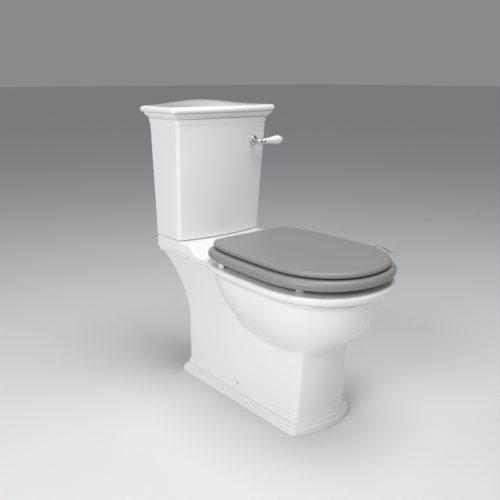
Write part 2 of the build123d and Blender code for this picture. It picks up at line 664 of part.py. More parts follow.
# ---------------------------------------------------------------- seat hinges
def hinge_leaves(knuckle_x, plate_bottom):
    """Two leaves: a knuckle round the pin and a flat plate that runs forwards from it."""
    with BuildPart() as leaves:
        for side in (-1, 1):
            centre = side * (HINGE_X + knuckle_x)
            with BuildSketch(Plane.YZ.offset(centre - KNUCKLE_WIDTH / 2)):
                with Locations((HINGE_Y, HINGE_Z)):
                    Circle(KNUCKLE_RADIUS)
            extrude(amount=KNUCKLE_WIDTH)
            with BuildSketch(Plane.XY.offset(plate_bottom)):
                with Locations((centre, HINGE_Y - LEAF_LENGTH / 2)):
                    Rectangle(KNUCKLE_WIDTH, LEAF_LENGTH)
            extrude(amount=LEAF_THICKNESS)
            with BuildSketch(Plane.YZ.offset(centre - KNUCKLE_WIDTH / 2)):
                with Locations((HINGE_Y, HINGE_Z)):
                    Circle(PIN_RADIUS + RUNNING)
            extrude(amount=KNUCKLE_WIDTH, mode=Mode.SUBTRACT)
            with Locations((centre, LEAF_SCREW_Y, plate_bottom + LEAF_THICKNESS)):
                Hole(radius=LEAF_SCREW_RADIUS + 0.2, depth=LEAF_THICKNESS)
    return leaves.part


ring_leaves = hinge_leaves(RING_KNUCKLE_X, RING_TOP - LEAF_THICKNESS)
ring_leaves.label = "ring_hinge_leaves"
export_step(ring_leaves, "parts/ring_hinge_leaves.step")

lid_leaves = hinge_leaves(LID_KNUCKLE_X, LID_BOTTOM)
lid_leaves.label = "lid_hinge_leaves"
export_step(lid_leaves, "parts/lid_hinge_leaves.step")


def leaf_screws(knuckle_x, seat_z, head_up):
    """One countersunk screw through the front end of each leaf."""
    sense = 1 if head_up else -1
    with BuildPart() as screws:
        with BuildSketch(Plane.XY.offset(seat_z)):
            with at_both_sides(HINGE_X + knuckle_x, LEAF_SCREW_Y):
                Circle(LEAF_SCREW_RADIUS)
        extrude(amount=-sense * (LEAF_SCREW_LENGTH - 2))
        with BuildSketch(Plane.XY.offset(seat_z)):
            with at_both_sides(HINGE_X + knuckle_x, LEAF_SCREW_Y):
                Circle(3.6)
        extrude(amount=sense * 1.0)
    return screws.part


ring_leaf_screws = leaf_screws(RING_KNUCKLE_X, RING_TOP, True)
ring_leaf_screws.label = "ring_leaf_screws"
export_step(ring_leaf_screws, "parts/ring_leaf_screws.step")

lid_leaf_screws = leaf_screws(LID_KNUCKLE_X, LID_BOTTOM, False)
lid_leaf_screws.label = "lid_leaf_screws"
export_step(lid_leaf_screws, "parts/lid_leaf_screws.step")

with BuildPart() as hinge_posts:
    # a round base on the rim, a slim stem and an eye for the pin
    with BuildSketch(Plane.XY.offset(RIM_TOP + 0.1)):
        with at_both_sides(HINGE_X, HINGE_Y):
            Circle(16)
    extrude(amount=4)
    fillet(hinge_posts.faces().group_by(Axis.Z)[-1].edges(), 2.5)
    with BuildSketch(Plane.XY.offset(RIM_TOP + 2)):
        with at_both_sides(HINGE_X, HINGE_Y):
            Circle(POST_RADIUS - 2)
    extrude(amount=HINGE_Z - RIM_TOP - 2)
    for side in (-1, 1):
        with BuildSketch(Plane.YZ.offset(side * HINGE_X - POST_RADIUS)):
            with Locations((HINGE_Y, HINGE_Z)):
                Circle(KNUCKLE_RADIUS)
        extrude(amount=2 * POST_RADIUS)
        with BuildSketch(Plane.YZ.offset(side * HINGE_X - POST_RADIUS)):
            with Locations((HINGE_Y, HINGE_Z)):
                Circle(PIN_RADIUS)
        extrude(amount=2 * POST_RADIUS, mode=Mode.SUBTRACT)
hinge_posts.part.label = "hinge_posts"
export_step(hinge_posts.part, "parts/hinge_posts.step")

with BuildPart() as hinge_pins:
    for side in (-1, 1):
        with BuildSketch(Plane.YZ.offset(side * HINGE_X - PIN_HALF_LENGTH)):
            with Locations((HINGE_Y, HINGE_Z)):
                Circle(PIN_RADIUS)
        extrude(amount=2 * PIN_HALF_LENGTH)
hinge_pins.part.label = "hinge_pins"
export_step(hinge_pins.part, "parts/hinge_pins.step")

with BuildPart() as hinge_studs:
    with BuildSketch(Plane.XY.offset(RIM_TOP)):
        with at_both_sides(HINGE_X, HINGE_Y):
            Circle(4)
    extrude(amount=-55)
hinge_studs.part.label = "hinge_studs"
export_step(hinge_studs.part, "parts/hinge_studs.step")

with BuildPart() as hinge_washers:
    for side in (-1, 1):
        with BuildSketch(Plane.XY.offset(RIM_TOP - 15.2)):
            with Locations((side * HINGE_X, HINGE_Y)):
                Circle(12)
        with BuildSketch(Plane.XY.offset(RIM_TOP - 25)):
            with Locations((side * HINGE_X, HINGE_Y)):
                Circle(15)
        loft()
    with BuildSketch(Plane.XY.offset(RIM_TOP - 26)):
        with at_both_sides(HINGE_X, HINGE_Y):
            Circle(4)
    extrude(amount=12, mode=Mode.SUBTRACT)
hinge_washers.part.label = "hinge_washers"
export_step(hinge_washers.part, "parts/hinge_washers.step")


def wing_nuts(places, top, bore, label):
    """Wing nuts at the places given: a round hub with two flat wings."""
    with BuildPart() as nuts:
        with BuildSketch(Plane.XY.offset(top - 10)):
            with Locations(*places):
                Circle(9)
        extrude(amount=10)
        with BuildSketch(Plane.XY.offset(top - 12)):
            with Locations(*places):
                SlotOverall(30, 4, 90)
        extrude(amount=10)
        with BuildSketch(Plane.XY.offset(top - 13)):
            with Locations(*places):
                Circle(bore)
        extrude(amount=14, mode=Mode.SUBTRACT)
    nuts.part.label = label
    export_step(nuts.part, "parts/" + label + ".step")


wing_nuts([(-HINGE_X, HINGE_Y), (HINGE_X, HINGE_Y)], RIM_TOP - 25.1, 4, "hinge_wing_nuts")

# chrome handle under the lid's right front edge: two arms joined by a bar, the near arm running past it
HANDLE_ARM_RADIUS = 1.9
HANDLE_BAR_RADIUS = 1.5
HANDLE_BALL_RADIUS = 2.1
HANDLE_Z = LID_BOTTOM - HANDLE_BALL_RADIUS - 0.05
PAD_RADIUS = 7.0
PAD_THICKNESS = 2.0
FAR_CORNER = (211.0, -227.0)
NEAR_CORNER = (182.0, -287.0)
NEAR_END = (190.0, -289.4)


def rod(start, end, radius):
    """Round rod between two points at the handle's height."""
    from_point = (start[0], start[1], HANDLE_Z)
    to_point = (end[0], end[1], HANDLE_Z)
    with BuildSketch(Plane(origin=from_point, z_dir=Vector(to_point) - Vector(from_point))) as section:
        Circle(radius)
    extrude(section.sketch, amount=math.dist(from_point, to_point))


with BuildPart() as lift_handle:
    rod(FAR_ROOT, FAR_CORNER, HANDLE_ARM_RADIUS)
    rod(NEAR_ROOT, NEAR_END, HANDLE_ARM_RADIUS)
    rod(FAR_CORNER, NEAR_CORNER, HANDLE_BAR_RADIUS)
    with Locations((FAR_CORNER[0], FAR_CORNER[1], HANDLE_Z), (NEAR_END[0], NEAR_END[1], HANDLE_Z)):
        Sphere(HANDLE_BALL_RADIUS)
    with BuildSketch(Plane.XY.offset(LID_BOTTOM - PAD_THICKNESS)):
        with Locations(FAR_ROOT, NEAR_ROOT):
            Circle(PAD_RADIUS)
    extrude(amount=PAD_THICKNESS)
    with BuildSketch(Plane.XY.offset(LID_BOTTOM)):
        with Locations(FAR_ROOT, NEAR_ROOT):
            Circle(HANDLE_SCREW_RADIUS)
    extrude(amount=-6, mode=Mode.SUBTRACT)
lift_handle.part.label = "lift_handle"
export_step(lift_handle.part, "parts/lift_handle.step")

with BuildPart() as handle_screws:
    with BuildSketch(Plane.XY.offset(HANDLE_Z - HANDLE_ARM_RADIUS)):
        with Locations(FAR_ROOT, NEAR_ROOT):
            Circle(HANDLE_SCREW_RADIUS)
    extrude(amount=HANDLE_SCREW_LENGTH)
handle_screws.part.label = "handle_screws"
export_step(handle_screws.part, "parts/handle_screws.step")

# ---------------------------------------------------------------- flush lever
HUB_RADIUS = 9.0
ARM_REACH = 84.0  # from the spindle to the end of the inner arm
INNER_DEPTH = 60.0  # from the cistern's face to the inner arm

with BuildPart() as lever_escutcheon:
    # stepped rose outside and a threaded sleeve through the wall
    for height, radius, thickness in ((0.6, 15, 3.0), (3.6, 12.5, 2.0), (5.6, 9, 1.4)):
        with BuildSketch(lever_plane.offset(height)):
            Circle(radius)
        extrude(amount=thickness)
    with BuildSketch(lever_plane.offset(1)):
        Circle(SPINDLE_SLEEVE)
    extrude(amount=-25)
    with BuildSketch(lever_plane.offset(8)):
        Circle(SPINDLE_RADIUS + RUNNING)
    extrude(amount=-35, mode=Mode.SUBTRACT)
lever_escutcheon.part.label = "lever_escutcheon"
export_step(lever_escutcheon.part, "parts/lever_escutcheon.step")

with BuildPart() as lever_backnut:
    with BuildSketch(lever_plane.offset(-CISTERN_WALL - 2.5)):
        hexagon(15)
        Circle(SPINDLE_SLEEVE + 0.02, mode=Mode.SUBTRACT)
    extrude(amount=-8)
lever_backnut.part.label = "lever_backnut"
export_step(lever_backnut.part, "parts/lever_backnut.step")

with BuildPart() as lever_spindle:
    with BuildSketch(lever_plane.offset(HUB_REACH - HUB_RADIUS + 2)):
        Circle(SPINDLE_RADIUS)
    extrude(amount=-(HUB_REACH - HUB_RADIUS + 2 + INNER_DEPTH + 4))
lever_spindle.part.label = "lever_spindle"
export_step(lever_spindle.part, "parts/lever_spindle.step")

hub_plane = lever_plane.offset(HUB_REACH)
arm_plane = Plane(origin=hub_plane.origin, x_dir=hub_plane.x_dir, z_dir=-hub_plane.y_dir)

with BuildPart() as lever_ball:
    with BuildSketch(Plane.XY):
        with BuildLine():
            Line((0, -HUB_RADIUS), (0, HUB_RADIUS))
            ThreePointArc((0, HUB_RADIUS), (HUB_RADIUS, 0), (0, -HUB_RADIUS))
        make_face()
    revolve(axis=Axis.Y)

with BuildPart() as lever_hub:
    # the ball, a neck towards the cistern and a neck towards the handle
    add(hub_plane.location * lever_ball.part)
    with BuildSketch(lever_plane.offset(7.4)):
        Circle(6.5)
    extrude(amount=HUB_REACH - 7.4)
    with BuildSketch(arm_plane):
        with BuildLine():
            Line((0, 0), (0, 5))
            Line((0, 5), (HANDLE_START - 6, 5))
            Line((HANDLE_START - 6, 5), (HANDLE_START - 6, 0))
            Line((HANDLE_START - 6, 0), (0, 0))
        make_face()
    revolve(axis=Axis(arm_plane.origin, arm_plane.x_dir))
    with BuildSketch(lever_plane.offset(5)):
        Circle(SPINDLE_RADIUS)
    extrude(amount=HUB_REACH - HUB_RADIUS + 2 - 5, mode=Mode.SUBTRACT)
lever_hub.part.label = "lever_hub"
export_step(lever_hub.part, "parts/lever_hub.step")

with BuildPart() as lever_collar:
    with BuildSketch(arm_plane):
        with BuildLine():
            Line((HANDLE_START - 6, 0), (HANDLE_START - 6, 6.5))
            ThreePointArc((HANDLE_START - 6, 6.5), (HANDLE_START - 3, 8.6), (HANDLE_START, 7.5))
            Line((HANDLE_START, 7.5), (HANDLE_START, 0))
            Line((HANDLE_START, 0), (HANDLE_START - 6, 0))
        make_face()
    revolve(axis=Axis(arm_plane.origin, arm_plane.x_dir))
lever_collar.part.label = "lever_collar"
export_step(lever_collar.part, "parts/lever_collar.step")

with BuildPart() as lever_handle:
    # slim at the collar, swelling to two thirds of its length, then drawn in to a blunt point
    with BuildSketch(arm_plane):
        with BuildLine():
            Line((HANDLE_START, 0), (HANDLE_START, HANDLE_BASE_RADIUS))
            Bezier(
                (HANDLE_START, HANDLE_BASE_RADIUS),
                (HANDLE_START + 28, HANDLE_BASE_RADIUS),
                (HANDLE_WIDEST - 16, HANDLE_RADIUS),
                (HANDLE_WIDEST, HANDLE_RADIUS),
            )
            Bezier(
                (HANDLE_WIDEST, HANDLE_RADIUS),
                (HANDLE_WIDEST + 7, HANDLE_RADIUS),
                (HANDLE_END - 11, 9),
                (HANDLE_END - 3, 4.5),
            )
            Bezier((HANDLE_END - 3, 4.5), (HANDLE_END - 1, 3.4), (HANDLE_END, 2), (HANDLE_END, 0))
            Line((HANDLE_END, 0), (HANDLE_START, 0))
        make_face()
    revolve(axis=Axis(arm_plane.origin, arm_plane.x_dir))
lever_handle.part.label = "lever_handle"
export_step(lever_handle.part, "parts/lever_handle.step")

inner_plane = lever_plane.offset(-INNER_DEPTH)
with BuildPart() as lever_arm:
    # flat boss on the spindle and a round rod towards the middle of the cistern
    with BuildSketch(inner_plane):
        Circle(9)
        Circle(SPINDLE_RADIUS, mode=Mode.SUBTRACT)
    extrude(amount=4, both=True)
    with BuildSketch(Plane(origin=inner_plane.origin, z_dir=-inner_plane.x_dir).offset(7)):
        Circle(2.5)
    extrude(amount=ARM_REACH - 7)
lever_arm.part.label = "lever_arm"
export_step(lever_arm.part, "parts/lever_arm.step")


# ---------------------------------------------------------------- flush valve
SEAT_Z = 456.0  # top of the valve's seat
FLOOR_Z = CISTERN_BOTTOM + CISTERN_FLOOR  # inside floor of the cistern
GUIDE_Z = 545.0
STEM_RADIUS = 11.0
STEM_TOP = 660.0
LINK_REACH = 68.0  # from the spindle to the lift link, along the inner arm
CAGE_RADIUS = 34.0
BACKNUT_TOP = CISTERN_BOTTOM - 0.1
BACKNUT_HEIGHT = 11.0
valve_centre = (0, VALVE_Y)

with BuildPart() as flush_valve_body:
    with BuildSketch(Plane.XY.offset(FLOOR_Z)):
        with Locations(valve_centre):
            Circle(42)
    extrude(amount=6)
    with BuildSketch(Plane.XY.offset(FLOOR_Z + 6)):
        with Locations(valve_centre):
            Circle(29)
    extrude(amount=SEAT_Z - FLOOR_Z - 6)
    with BuildSketch(Plane.XY.offset(FLOOR_Z)):
        with Locations(valve_centre):
            Circle(VALVE_TAIL_RADIUS)
    extrude(amount=403 - FLOOR_Z)
    with BuildSketch(Plane.XY.offset(402)):
        with Locations(valve_centre):
            Circle(22)
    extrude(amount=SEAT_Z - 400, mode=Mode.SUBTRACT)
    # cage: four posts and a ring that guides the stem
    with BuildSketch(Plane.XY.offset(FLOOR_Z + 5)):
        with Locations(valve_centre):
            with PolarLocations(CAGE_RADIUS - 1, 4, start_angle=45):
                Circle(3)
    extrude(amount=GUIDE_Z - FLOOR_Z - 5)
    with BuildSketch(Plane.XY.offset(GUIDE_Z)):
        with Locations(valve_centre):
            Circle(CAGE_RADIUS + 4)
            Circle(STEM_RADIUS + 0.4, mode=Mode.SUBTRACT)
    extrude(amount=6)
flush_valve_body.part.label = "flush_valve_body"
export_step(flush_valve_body.part, "parts/flush_valve_body.step")

with BuildPart() as flush_valve_backnut:
    with BuildSketch(Plane.XY.offset(BACKNUT_TOP)):
        with Locations(valve_centre):
            hexagon(38)
            Circle(VALVE_TAIL_RADIUS + 0.02, mode=Mode.SUBTRACT)
    extrude(amount=-BACKNUT_HEIGHT)
flush_valve_backnut.part.label = "flush_valve_backnut"
export_step(flush_valve_backnut.part, "parts/flush_valve_backnut.step")

with BuildPart() as coupling_gasket:
    with BuildSketch(Plane.XY.offset(GASKET_FLOOR + 0.1)):
        with Locations(valve_centre):
            Circle(GASKET_RECESS - 0.6)
            Circle(VALVE_TAIL_RADIUS + 0.4, mode=Mode.SUBTRACT)
    extrude(amount=BACKNUT_TOP - BACKNUT_HEIGHT - GASKET_FLOOR - 0.3)
    fillet(coupling_gasket.edges().filter_by(GeomType.CIRCLE), 3)
coupling_gasket.part.label = "coupling_gasket"
export_step(coupling_gasket.part, "parts/coupling_gasket.step")

with BuildPart() as flush_plunger:
    with BuildSketch(Plane.XY.offset(SEAT_Z + 3.5)):
        with Locations(valve_centre):
            Circle(27)
    extrude(amount=6)
    with BuildSketch(Plane.XY.offset(SEAT_Z + 3.5)):
        with Locations(valve_centre):
            Circle(STEM_RADIUS)
    extrude(amount=STEM_TOP - SEAT_Z - 3.5)
    with BuildSketch(Plane.XY.offset(SEAT_Z)):
        with Locations(valve_centre):
            Circle(STEM_RADIUS - 2.5)
    extrude(amount=STEM_TOP - SEAT_Z + 1, mode=Mode.SUBTRACT)
flush_plunger.part.label = "flush_plunger"
export_step(flush_plunger.part, "parts/flush_plunger.step")

with BuildPart() as plunger_seal:
    with BuildSketch(Plane.XY.offset(SEAT_Z + 0.4)):
        with Locations(valve_centre):
            Circle(28)
            Circle(STEM_RADIUS - 2.5, mode=Mode.SUBTRACT)
    extrude(amount=3.1)
plunger_seal.part.label = "plunger_seal"
export_step(plunger_seal.part, "parts/plunger_seal.step")

# link from the inner arm down to the plunger's stem
link_x = inner_plane.origin.X - LINK_REACH * inner_plane.x_dir.X
link_y = inner_plane.origin.Y - LINK_REACH * inner_plane.x_dir.Y
link_z = inner_plane.origin.Z
LINK_BAR_Z = 600.0
with BuildPart() as lift_link:
    with BuildSketch(Plane.XY.offset(LINK_BAR_Z)):
        with Locations(valve_centre):
            Circle(STEM_RADIUS + 5)
        with BuildLine() as crank:
            Line(valve_centre, (link_x, link_y))
        trace(crank.line, 7)
        with Locations((link_x, link_y)):
            Circle(4)
        with Locations(valve_centre):
            Circle(STEM_RADIUS, mode=Mode.SUBTRACT)
    extrude(amount=7)
    with BuildSketch(Plane.XY.offset(LINK_BAR_Z + 3)):
        with Locations((link_x, link_y)):
            Circle(2)
    extrude(amount=link_z - 9 - LINK_BAR_Z)
    with BuildSketch(Plane.YZ.offset(link_x - 1.5)):
        with Locations((link_y, link_z)):
            RectangleRounded(18, 19, 3)
            RectangleRounded(12, 11, 2, mode=Mode.SUBTRACT)
    extrude(amount=3)
lift_link.part.label = "lift_link"
export_step(lift_link.part, "parts/lift_link.step")

# ---------------------------------------------------------------- fill valve
RISER_TOP = 690.0
FLOAT_LOW = 520.0
FLOAT_HEIGHT = 66.0
inlet_centre = (INLET_X, INLET_Y)

with BuildPart() as fill_valve_tail:
    with BuildSketch(Plane.XY.offset(FLOOR_Z + 3)):
        with Locations(inlet_centre):
            Circle(17)
    extrude(amount=5)
    with BuildSketch(Plane.XY.offset(FLOOR_Z + 3)):
        with Locations(inlet_centre):
            Circle(INLET_RADIUS - 0.2)
    extrude(amount=INLET_END - FLOOR_Z - 3)
    with BuildSketch(Plane.XY.offset(INLET_END)):
        with Locations(inlet_centre):
            Circle(INLET_RADIUS)
    extrude(amount=BACKNUT_TOP - 9 - 0.4 - INLET_END)
    with BuildSketch(Plane.XY.offset(INLET_END - 1)):
        with Locations(inlet_centre):
            Circle(6)
    extrude(amount=FLOOR_Z + 10 - INLET_END, mode=Mode.SUBTRACT)
fill_valve_tail.part.label = "fill_valve_tail"
export_step(fill_valve_tail.part, "parts/fill_valve_tail.step")

with BuildPart() as fill_valve_washer:
    with BuildSketch(Plane.XY.offset(FLOOR_Z)):
        with Locations(inlet_centre):
            Circle(16)
            Circle(INLET_RADIUS, mode=Mode.SUBTRACT)
    extrude(amount=3)
fill_valve_washer.part.label = "fill_valve_washer"
export_step(fill_valve_washer.part, "parts/fill_valve_washer.step")

with BuildPart() as fill_valve_backnut:
    with BuildSketch(Plane.XY.offset(BACKNUT_TOP)):
        with Locations(inlet_centre):
            hexagon(17)
            Circle(INLET_RADIUS + 0.02, mode=Mode.SUBTRACT)
    extrude(amount=-9)
fill_valve_backnut.part.label = "fill_valve_backnut"
export_step(fill_valve_backnut.part, "parts/fill_valve_backnut.step")

with BuildPart() as fill_valve_riser:
    with BuildSketch(Plane.XY.offset(FLOOR_Z + 8)):
        with Locations(inlet_centre):
            Circle(11)
            Circle(6, mode=Mode.SUBTRACT)
    extrude(amount=RISER_TOP - FLOOR_Z - 8)
fill_valve_riser.part.label = "fill_valve_riser"
export_step(fill_valve_riser.part, "parts/fill_valve_riser.step")

with BuildPart() as fill_valve_head:
    with BuildSketch(Plane.XY.offset(RISER_TOP)):
        with Locations(inlet_centre):
            Circle(15)
    extrude(amount=24)
    fillet(fill_valve_head.faces().sort_by(Axis.Z)[-1].edges(), 4)
fill_valve_head.part.label = "fill_valve_head"
export_step(fill_valve_head.part, "parts/fill_valve_head.step")

with BuildPart() as fill_float:
    with BuildSketch(Plane.XY.offset(FLOAT_LOW)):
        with Locations(inlet_centre):
            Circle(24)
            Circle(12, mode=Mode.SUBTRACT)
    extrude(amount=FLOAT_HEIGHT)
    fillet(fill_float.faces().sort_by(Axis.Z)[-1].edges().sort_by(SortBy.LENGTH)[-1], 3)
fill_float.part.label = "fill_float"
export_step(fill_float.part, "parts/fill_float.step")

with BuildPart() as float_rod:
    with BuildSketch(Plane.XY.offset(FLOAT_LOW + FLOAT_HEIGHT)):
        with Locations((INLET_X + 19, INLET_Y)):
            Circle(1.6)
    extrude(amount=70)
float_rod.part.label = "float_rod"
export_step(float_rod.part, "parts/float_rod.step")

with BuildPart() as float_stop:
    # clip on the riser that the float rests on while the cistern is empty
    with BuildSketch(Plane.XY.offset(FLOAT_LOW - 6.2)):
        with Locations(inlet_centre):
            Circle(16)
            Circle(11, mode=Mode.SUBTRACT)
    extrude(amount=6)
float_stop.part.label = "float_stop"
export_step(float_stop.part, "parts/float_stop.step")

# ---------------------------------------------------------------- cistern bolts
SHELF_UNDERSIDE = SHELF_TOP - SHELF_THICKNESS
coupling_places = [(-COUPLING_X, VALVE_Y), (COUPLING_X, VALVE_Y)]

with BuildPart() as coupling_washers:
    for bottom in (FLOOR_Z, SHELF_UNDERSIDE - 3):
        with BuildSketch(Plane.XY.offset(bottom)):
            with Locations(*coupling_places):
                Circle(10)
        extrude(amount=3)
    with BuildSketch(Plane.XY.offset(SHELF_UNDERSIDE - 4)):
        with Locations(*coupling_places):
            Circle(3.8)
    extrude(amount=FLOOR_Z - SHELF_UNDERSIDE + 10, mode=Mode.SUBTRACT)
coupling_washers.part.label = "coupling_washers"
export_step(coupling_washers.part, "parts/coupling_washers.step")

with BuildPart() as coupling_bolts:
    with BuildSketch(Plane.XY.offset(FLOOR_Z + 3)):
        with Locations(*coupling_places):
            hexagon(7.5)
    extrude(amount=5)
    with BuildSketch(Plane.XY.offset(FLOOR_Z + 3)):
        with Locations(*coupling_places):
            Circle(3.8)
    extrude(amount=-62)
coupling_bolts.part.label = "coupling_bolts"
export_step(coupling_bolts.part, "parts/coupling_bolts.step")

wing_nuts(coupling_places, SHELF_UNDERSIDE - 3, 3.8, "coupling_wing_nuts")

# ---------------------------------------------------------------- floor brackets
with BuildPart() as floor_brackets:
    for side in (-1, 1):
        with BuildSketch(Plane.XZ.offset(-SIDE_HOLE_Y)):
            with Locations((side * (BRACKET_OUTER - 17), BRACKET_THICKNESS / 2)):
                Rectangle(34, BRACKET_THICKNESS)
            with Locations((side * (BRACKET_OUTER - BRACKET_THICKNESS / 2), 33)):
                Rectangle(BRACKET_THICKNESS, 66)
        extrude(amount=22, both=True)
    with BuildSketch():
        with at_both_sides(FLOOR_SCREW_X, SIDE_HOLE_Y):
            Circle(FLOOR_SCREW_RADIUS)
    extrude(amount=BRACKET_THICKNESS, mode=Mode.SUBTRACT)
    with BuildSketch(Plane.YZ.offset(-BRACKET_OUTER)):
        with Locations((SIDE_HOLE_Y, SIDE_HOLE_Z)):
            Circle(2.5)
    extrude(amount=2 * BRACKET_OUTER, mode=Mode.SUBTRACT)
floor_brackets.part.label = "floor_brackets"
export_step(floor_brackets.part, "parts/floor_brackets.step")
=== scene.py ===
"""Close coupled toilet, drawn over the CAD frame: glazed ceramic, painted seat, chrome fittings.

Solids are worked out in millimetres as distance fields (negative inside) and turned into surfaces.
"""

import json
import math

import bpy
import numpy as np
import openvdb
from mathutils import Matrix, Vector


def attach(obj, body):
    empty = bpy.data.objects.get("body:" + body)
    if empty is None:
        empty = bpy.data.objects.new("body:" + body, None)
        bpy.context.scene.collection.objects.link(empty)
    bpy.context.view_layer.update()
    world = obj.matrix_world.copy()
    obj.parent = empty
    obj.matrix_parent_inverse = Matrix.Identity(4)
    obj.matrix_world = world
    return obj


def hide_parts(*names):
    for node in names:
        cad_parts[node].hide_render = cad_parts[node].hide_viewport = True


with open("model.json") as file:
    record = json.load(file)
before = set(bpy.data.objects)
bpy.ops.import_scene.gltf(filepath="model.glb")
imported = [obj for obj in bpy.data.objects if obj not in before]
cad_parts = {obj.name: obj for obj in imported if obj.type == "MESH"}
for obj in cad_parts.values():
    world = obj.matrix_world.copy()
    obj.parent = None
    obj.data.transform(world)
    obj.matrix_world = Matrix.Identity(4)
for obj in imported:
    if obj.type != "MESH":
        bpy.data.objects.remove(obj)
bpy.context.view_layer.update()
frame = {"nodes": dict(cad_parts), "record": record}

MM = 0.001
PAN_STEP = 2.0
SMALL_STEP = 1.5


# ---------------------------------------------------------------- fields
class Grid:
    """Points of a voxel grid between two corners, in millimetres."""

    def __init__(self, low, high, step):
        self.low = np.array(low, float)
        self.step = step
        self.xs, self.ys, self.zs = (
            np.arange(a, b + step, step, dtype=np.float32) for a, b in zip(low, high)
        )
        self.x = self.xs[:, None, None]
        self.y = self.ys[None, :, None]
        self.z = self.zs[None, None, :]

    def flat(self):
        """x and y of one level of the grid."""
        return self.xs[:, None], self.ys[None, :]


def join(a, b, soft):
    """Union of two fields with a fillet about soft millimetres wide."""
    near = np.maximum(soft - np.abs(a - b), 0)
    return np.minimum(a, b) - near * near / (4 * soft)


def cut(a, b, soft):
    """What is left of a once b is taken out, with a rounded edge."""
    return -join(-a, b, soft)


def limit(a, b, soft):
    """What is common to two fields, with a rounded edge."""
    return -join(-a, -b, soft)


def polygon(points, u, v):
    """Signed distance from a closed outline."""
    points = np.asarray(points, np.float32)
    best = np.full(np.broadcast(u, v).shape, 1e12, np.float32)
    inside = np.zeros(best.shape, bool)
    for (x0, y0), (x1, y1) in zip(points, np.roll(points, -1, axis=0)):
        ex, ey = x1 - x0, y1 - y0
        length = ex * ex + ey * ey
        if length < 1e-9:
            continue
        along = np.clip(((u - x0) * ex + (v - y0) * ey) / length, 0, 1)
        best = np.minimum(best, (u - x0 - along * ex) ** 2 + (v - y0 - along * ey) ** 2)
        if ey:
            inside ^= ((y0 <= v) != (y1 <= v)) & (u < x0 + (v - y0) * ex / ey)
    return np.where(inside, -1, 1).astype(np.float32) * np.sqrt(best)


def bezier(a, b, c, d, count=16):
    """Points of a cubic curve, its end left out."""
    t = np.linspace(0, 1, count, endpoint=False)[:, None]
    a, b, c, d = (np.array(p, float) for p in (a, b, c, d))
    return (1 - t) ** 3 * a + 3 * (1 - t) ** 2 * t * b + 3 * (1 - t) * t * t * c + t**3 * d


def oval(half_width, front, rear, widest, count=60):
    """Egg-shaped outline with a full front and a straight rear."""
    full = 0.61
    right = np.vstack([
        bezier((0, front), (full * half_width, front),
               (half_width, widest + full * (front - widest)), (half_width, widest), count),
        bezier((half_width, widest), (half_width, widest + 0.82 * (rear - widest)),
               (0.92 * half_width, rear), (0.57 * half_width, rear), count),
        [(0.57 * half_width, rear), (0, rear)],
    ])
    left = right[::-1][1:-1] * [-1, 1]
    return np.vstack([right, left])


def bowed(x, y, half_width, rear, corner, bow, radius, rear_radius=2.5):
    """Distance from a rectangle whose front edge bows outwards, its corners rounded."""
    radius = np.where(y > 0.5 * (rear + corner), rear_radius, radius).astype(np.float32)
    arc = (half_width**2 + bow**2) / (2 * bow)
    side = np.abs(x) - half_width
    front = np.sqrt(x * x + (y - (corner - bow + arc)) ** 2) - arc
    front = np.where(y < corner + 0.5 * arc, front, -1e3)
    ends = np.maximum(front, y - rear)
    a, b = side + radius, ends + radius
    outside = np.sqrt(np.maximum(a, 0) ** 2 + np.maximum(b, 0) ** 2)
    return outside + np.minimum(np.maximum(a, b), 0) - radius


def moulding(grid, distance, profile):
    """A profile, drawn as distance from an outline against height, run along that outline."""
    span = np.arange(-220.0, 80.0, 0.5, dtype=np.float32)
    table = polygon(profile, span[:, None], grid.zs[None, :])
    levels = [np.interp(distance, span, table[:, k]) for k in range(len(grid.zs))]
    return np.stack(levels, axis=-1).astype(np.float32)


def gauge(outline, centre, x, y):
    """1 on an outline, 0 at its centre, in proportion between; and the outline's reach that way."""
    angles = np.arctan2(outline[:, 1] - centre, outline[:, 0])
    reach = np.hypot(outline[:, 0], outline[:, 1] - centre)
    order = np.argsort(angles)
    angles, reach = angles[order], reach[order]
    at = np.interp(np.arctan2(y - centre, x), angles, reach, period=2 * math.pi)
    return np.hypot(x, y - centre) / at, at


def eased(z, heights, values):
    """Smooth curve through values at the heights given."""
    slopes = np.gradient(np.array(values, float), np.array(heights, float))
    k = np.clip(np.searchsorted(heights, z) - 1, 0, len(heights) - 2)
    h0, h1 = np.take(heights, k), np.take(heights, k + 1)
    t = (np.clip(z, heights[0], heights[-1]) - h0) / (h1 - h0)
    a, b = np.take(values, k), np.take(values, k + 1)
    m, n = np.take(slopes, k) * (h1 - h0), np.take(slopes, k + 1) * (h1 - h0)
    start, end = 2 * t**3 - 3 * t**2 + 1, 3 * t**2 - 2 * t**3
    return start * a + (t**3 - 2 * t**2 + t) * m + end * b + (t**3 - t**2) * n


def upright(grid, x, y, radius, low, high):
    """Round hole or post between two heights."""
    return np.maximum(np.hypot(grid.x - x, grid.y - y) - radius,
                      np.maximum(low - grid.z, grid.z - high))


# ---------------------------------------------------------------- surfaces
def sample(field, at):
    """Field at points given in voxels, by linear interpolation."""
    base = np.floor(at).astype(int)
    base = np.clip(base, 0, np.array(field.shape) - 2)
    part = at - base
    total = np.zeros(len(at))
    for i in (0, 1):
        for j in (0, 1):
            for k in (0, 1):
                weight = (np.abs(1 - i - part[:, 0]) * np.abs(1 - j - part[:, 1])
                          * np.abs(1 - k - part[:, 2]))
                total += weight * field[base[:, 0] + i, base[:, 1] + j, base[:, 2] + k]
    return total


def slope(field, at, reach=0.75):
    """Direction in which the field grows fastest, at points given in voxels."""
    parts = [sample(field, at + step) - sample(field, at - step) for step in np.eye(3) * reach]
    return np.stack(parts, axis=-1) / (2 * reach)


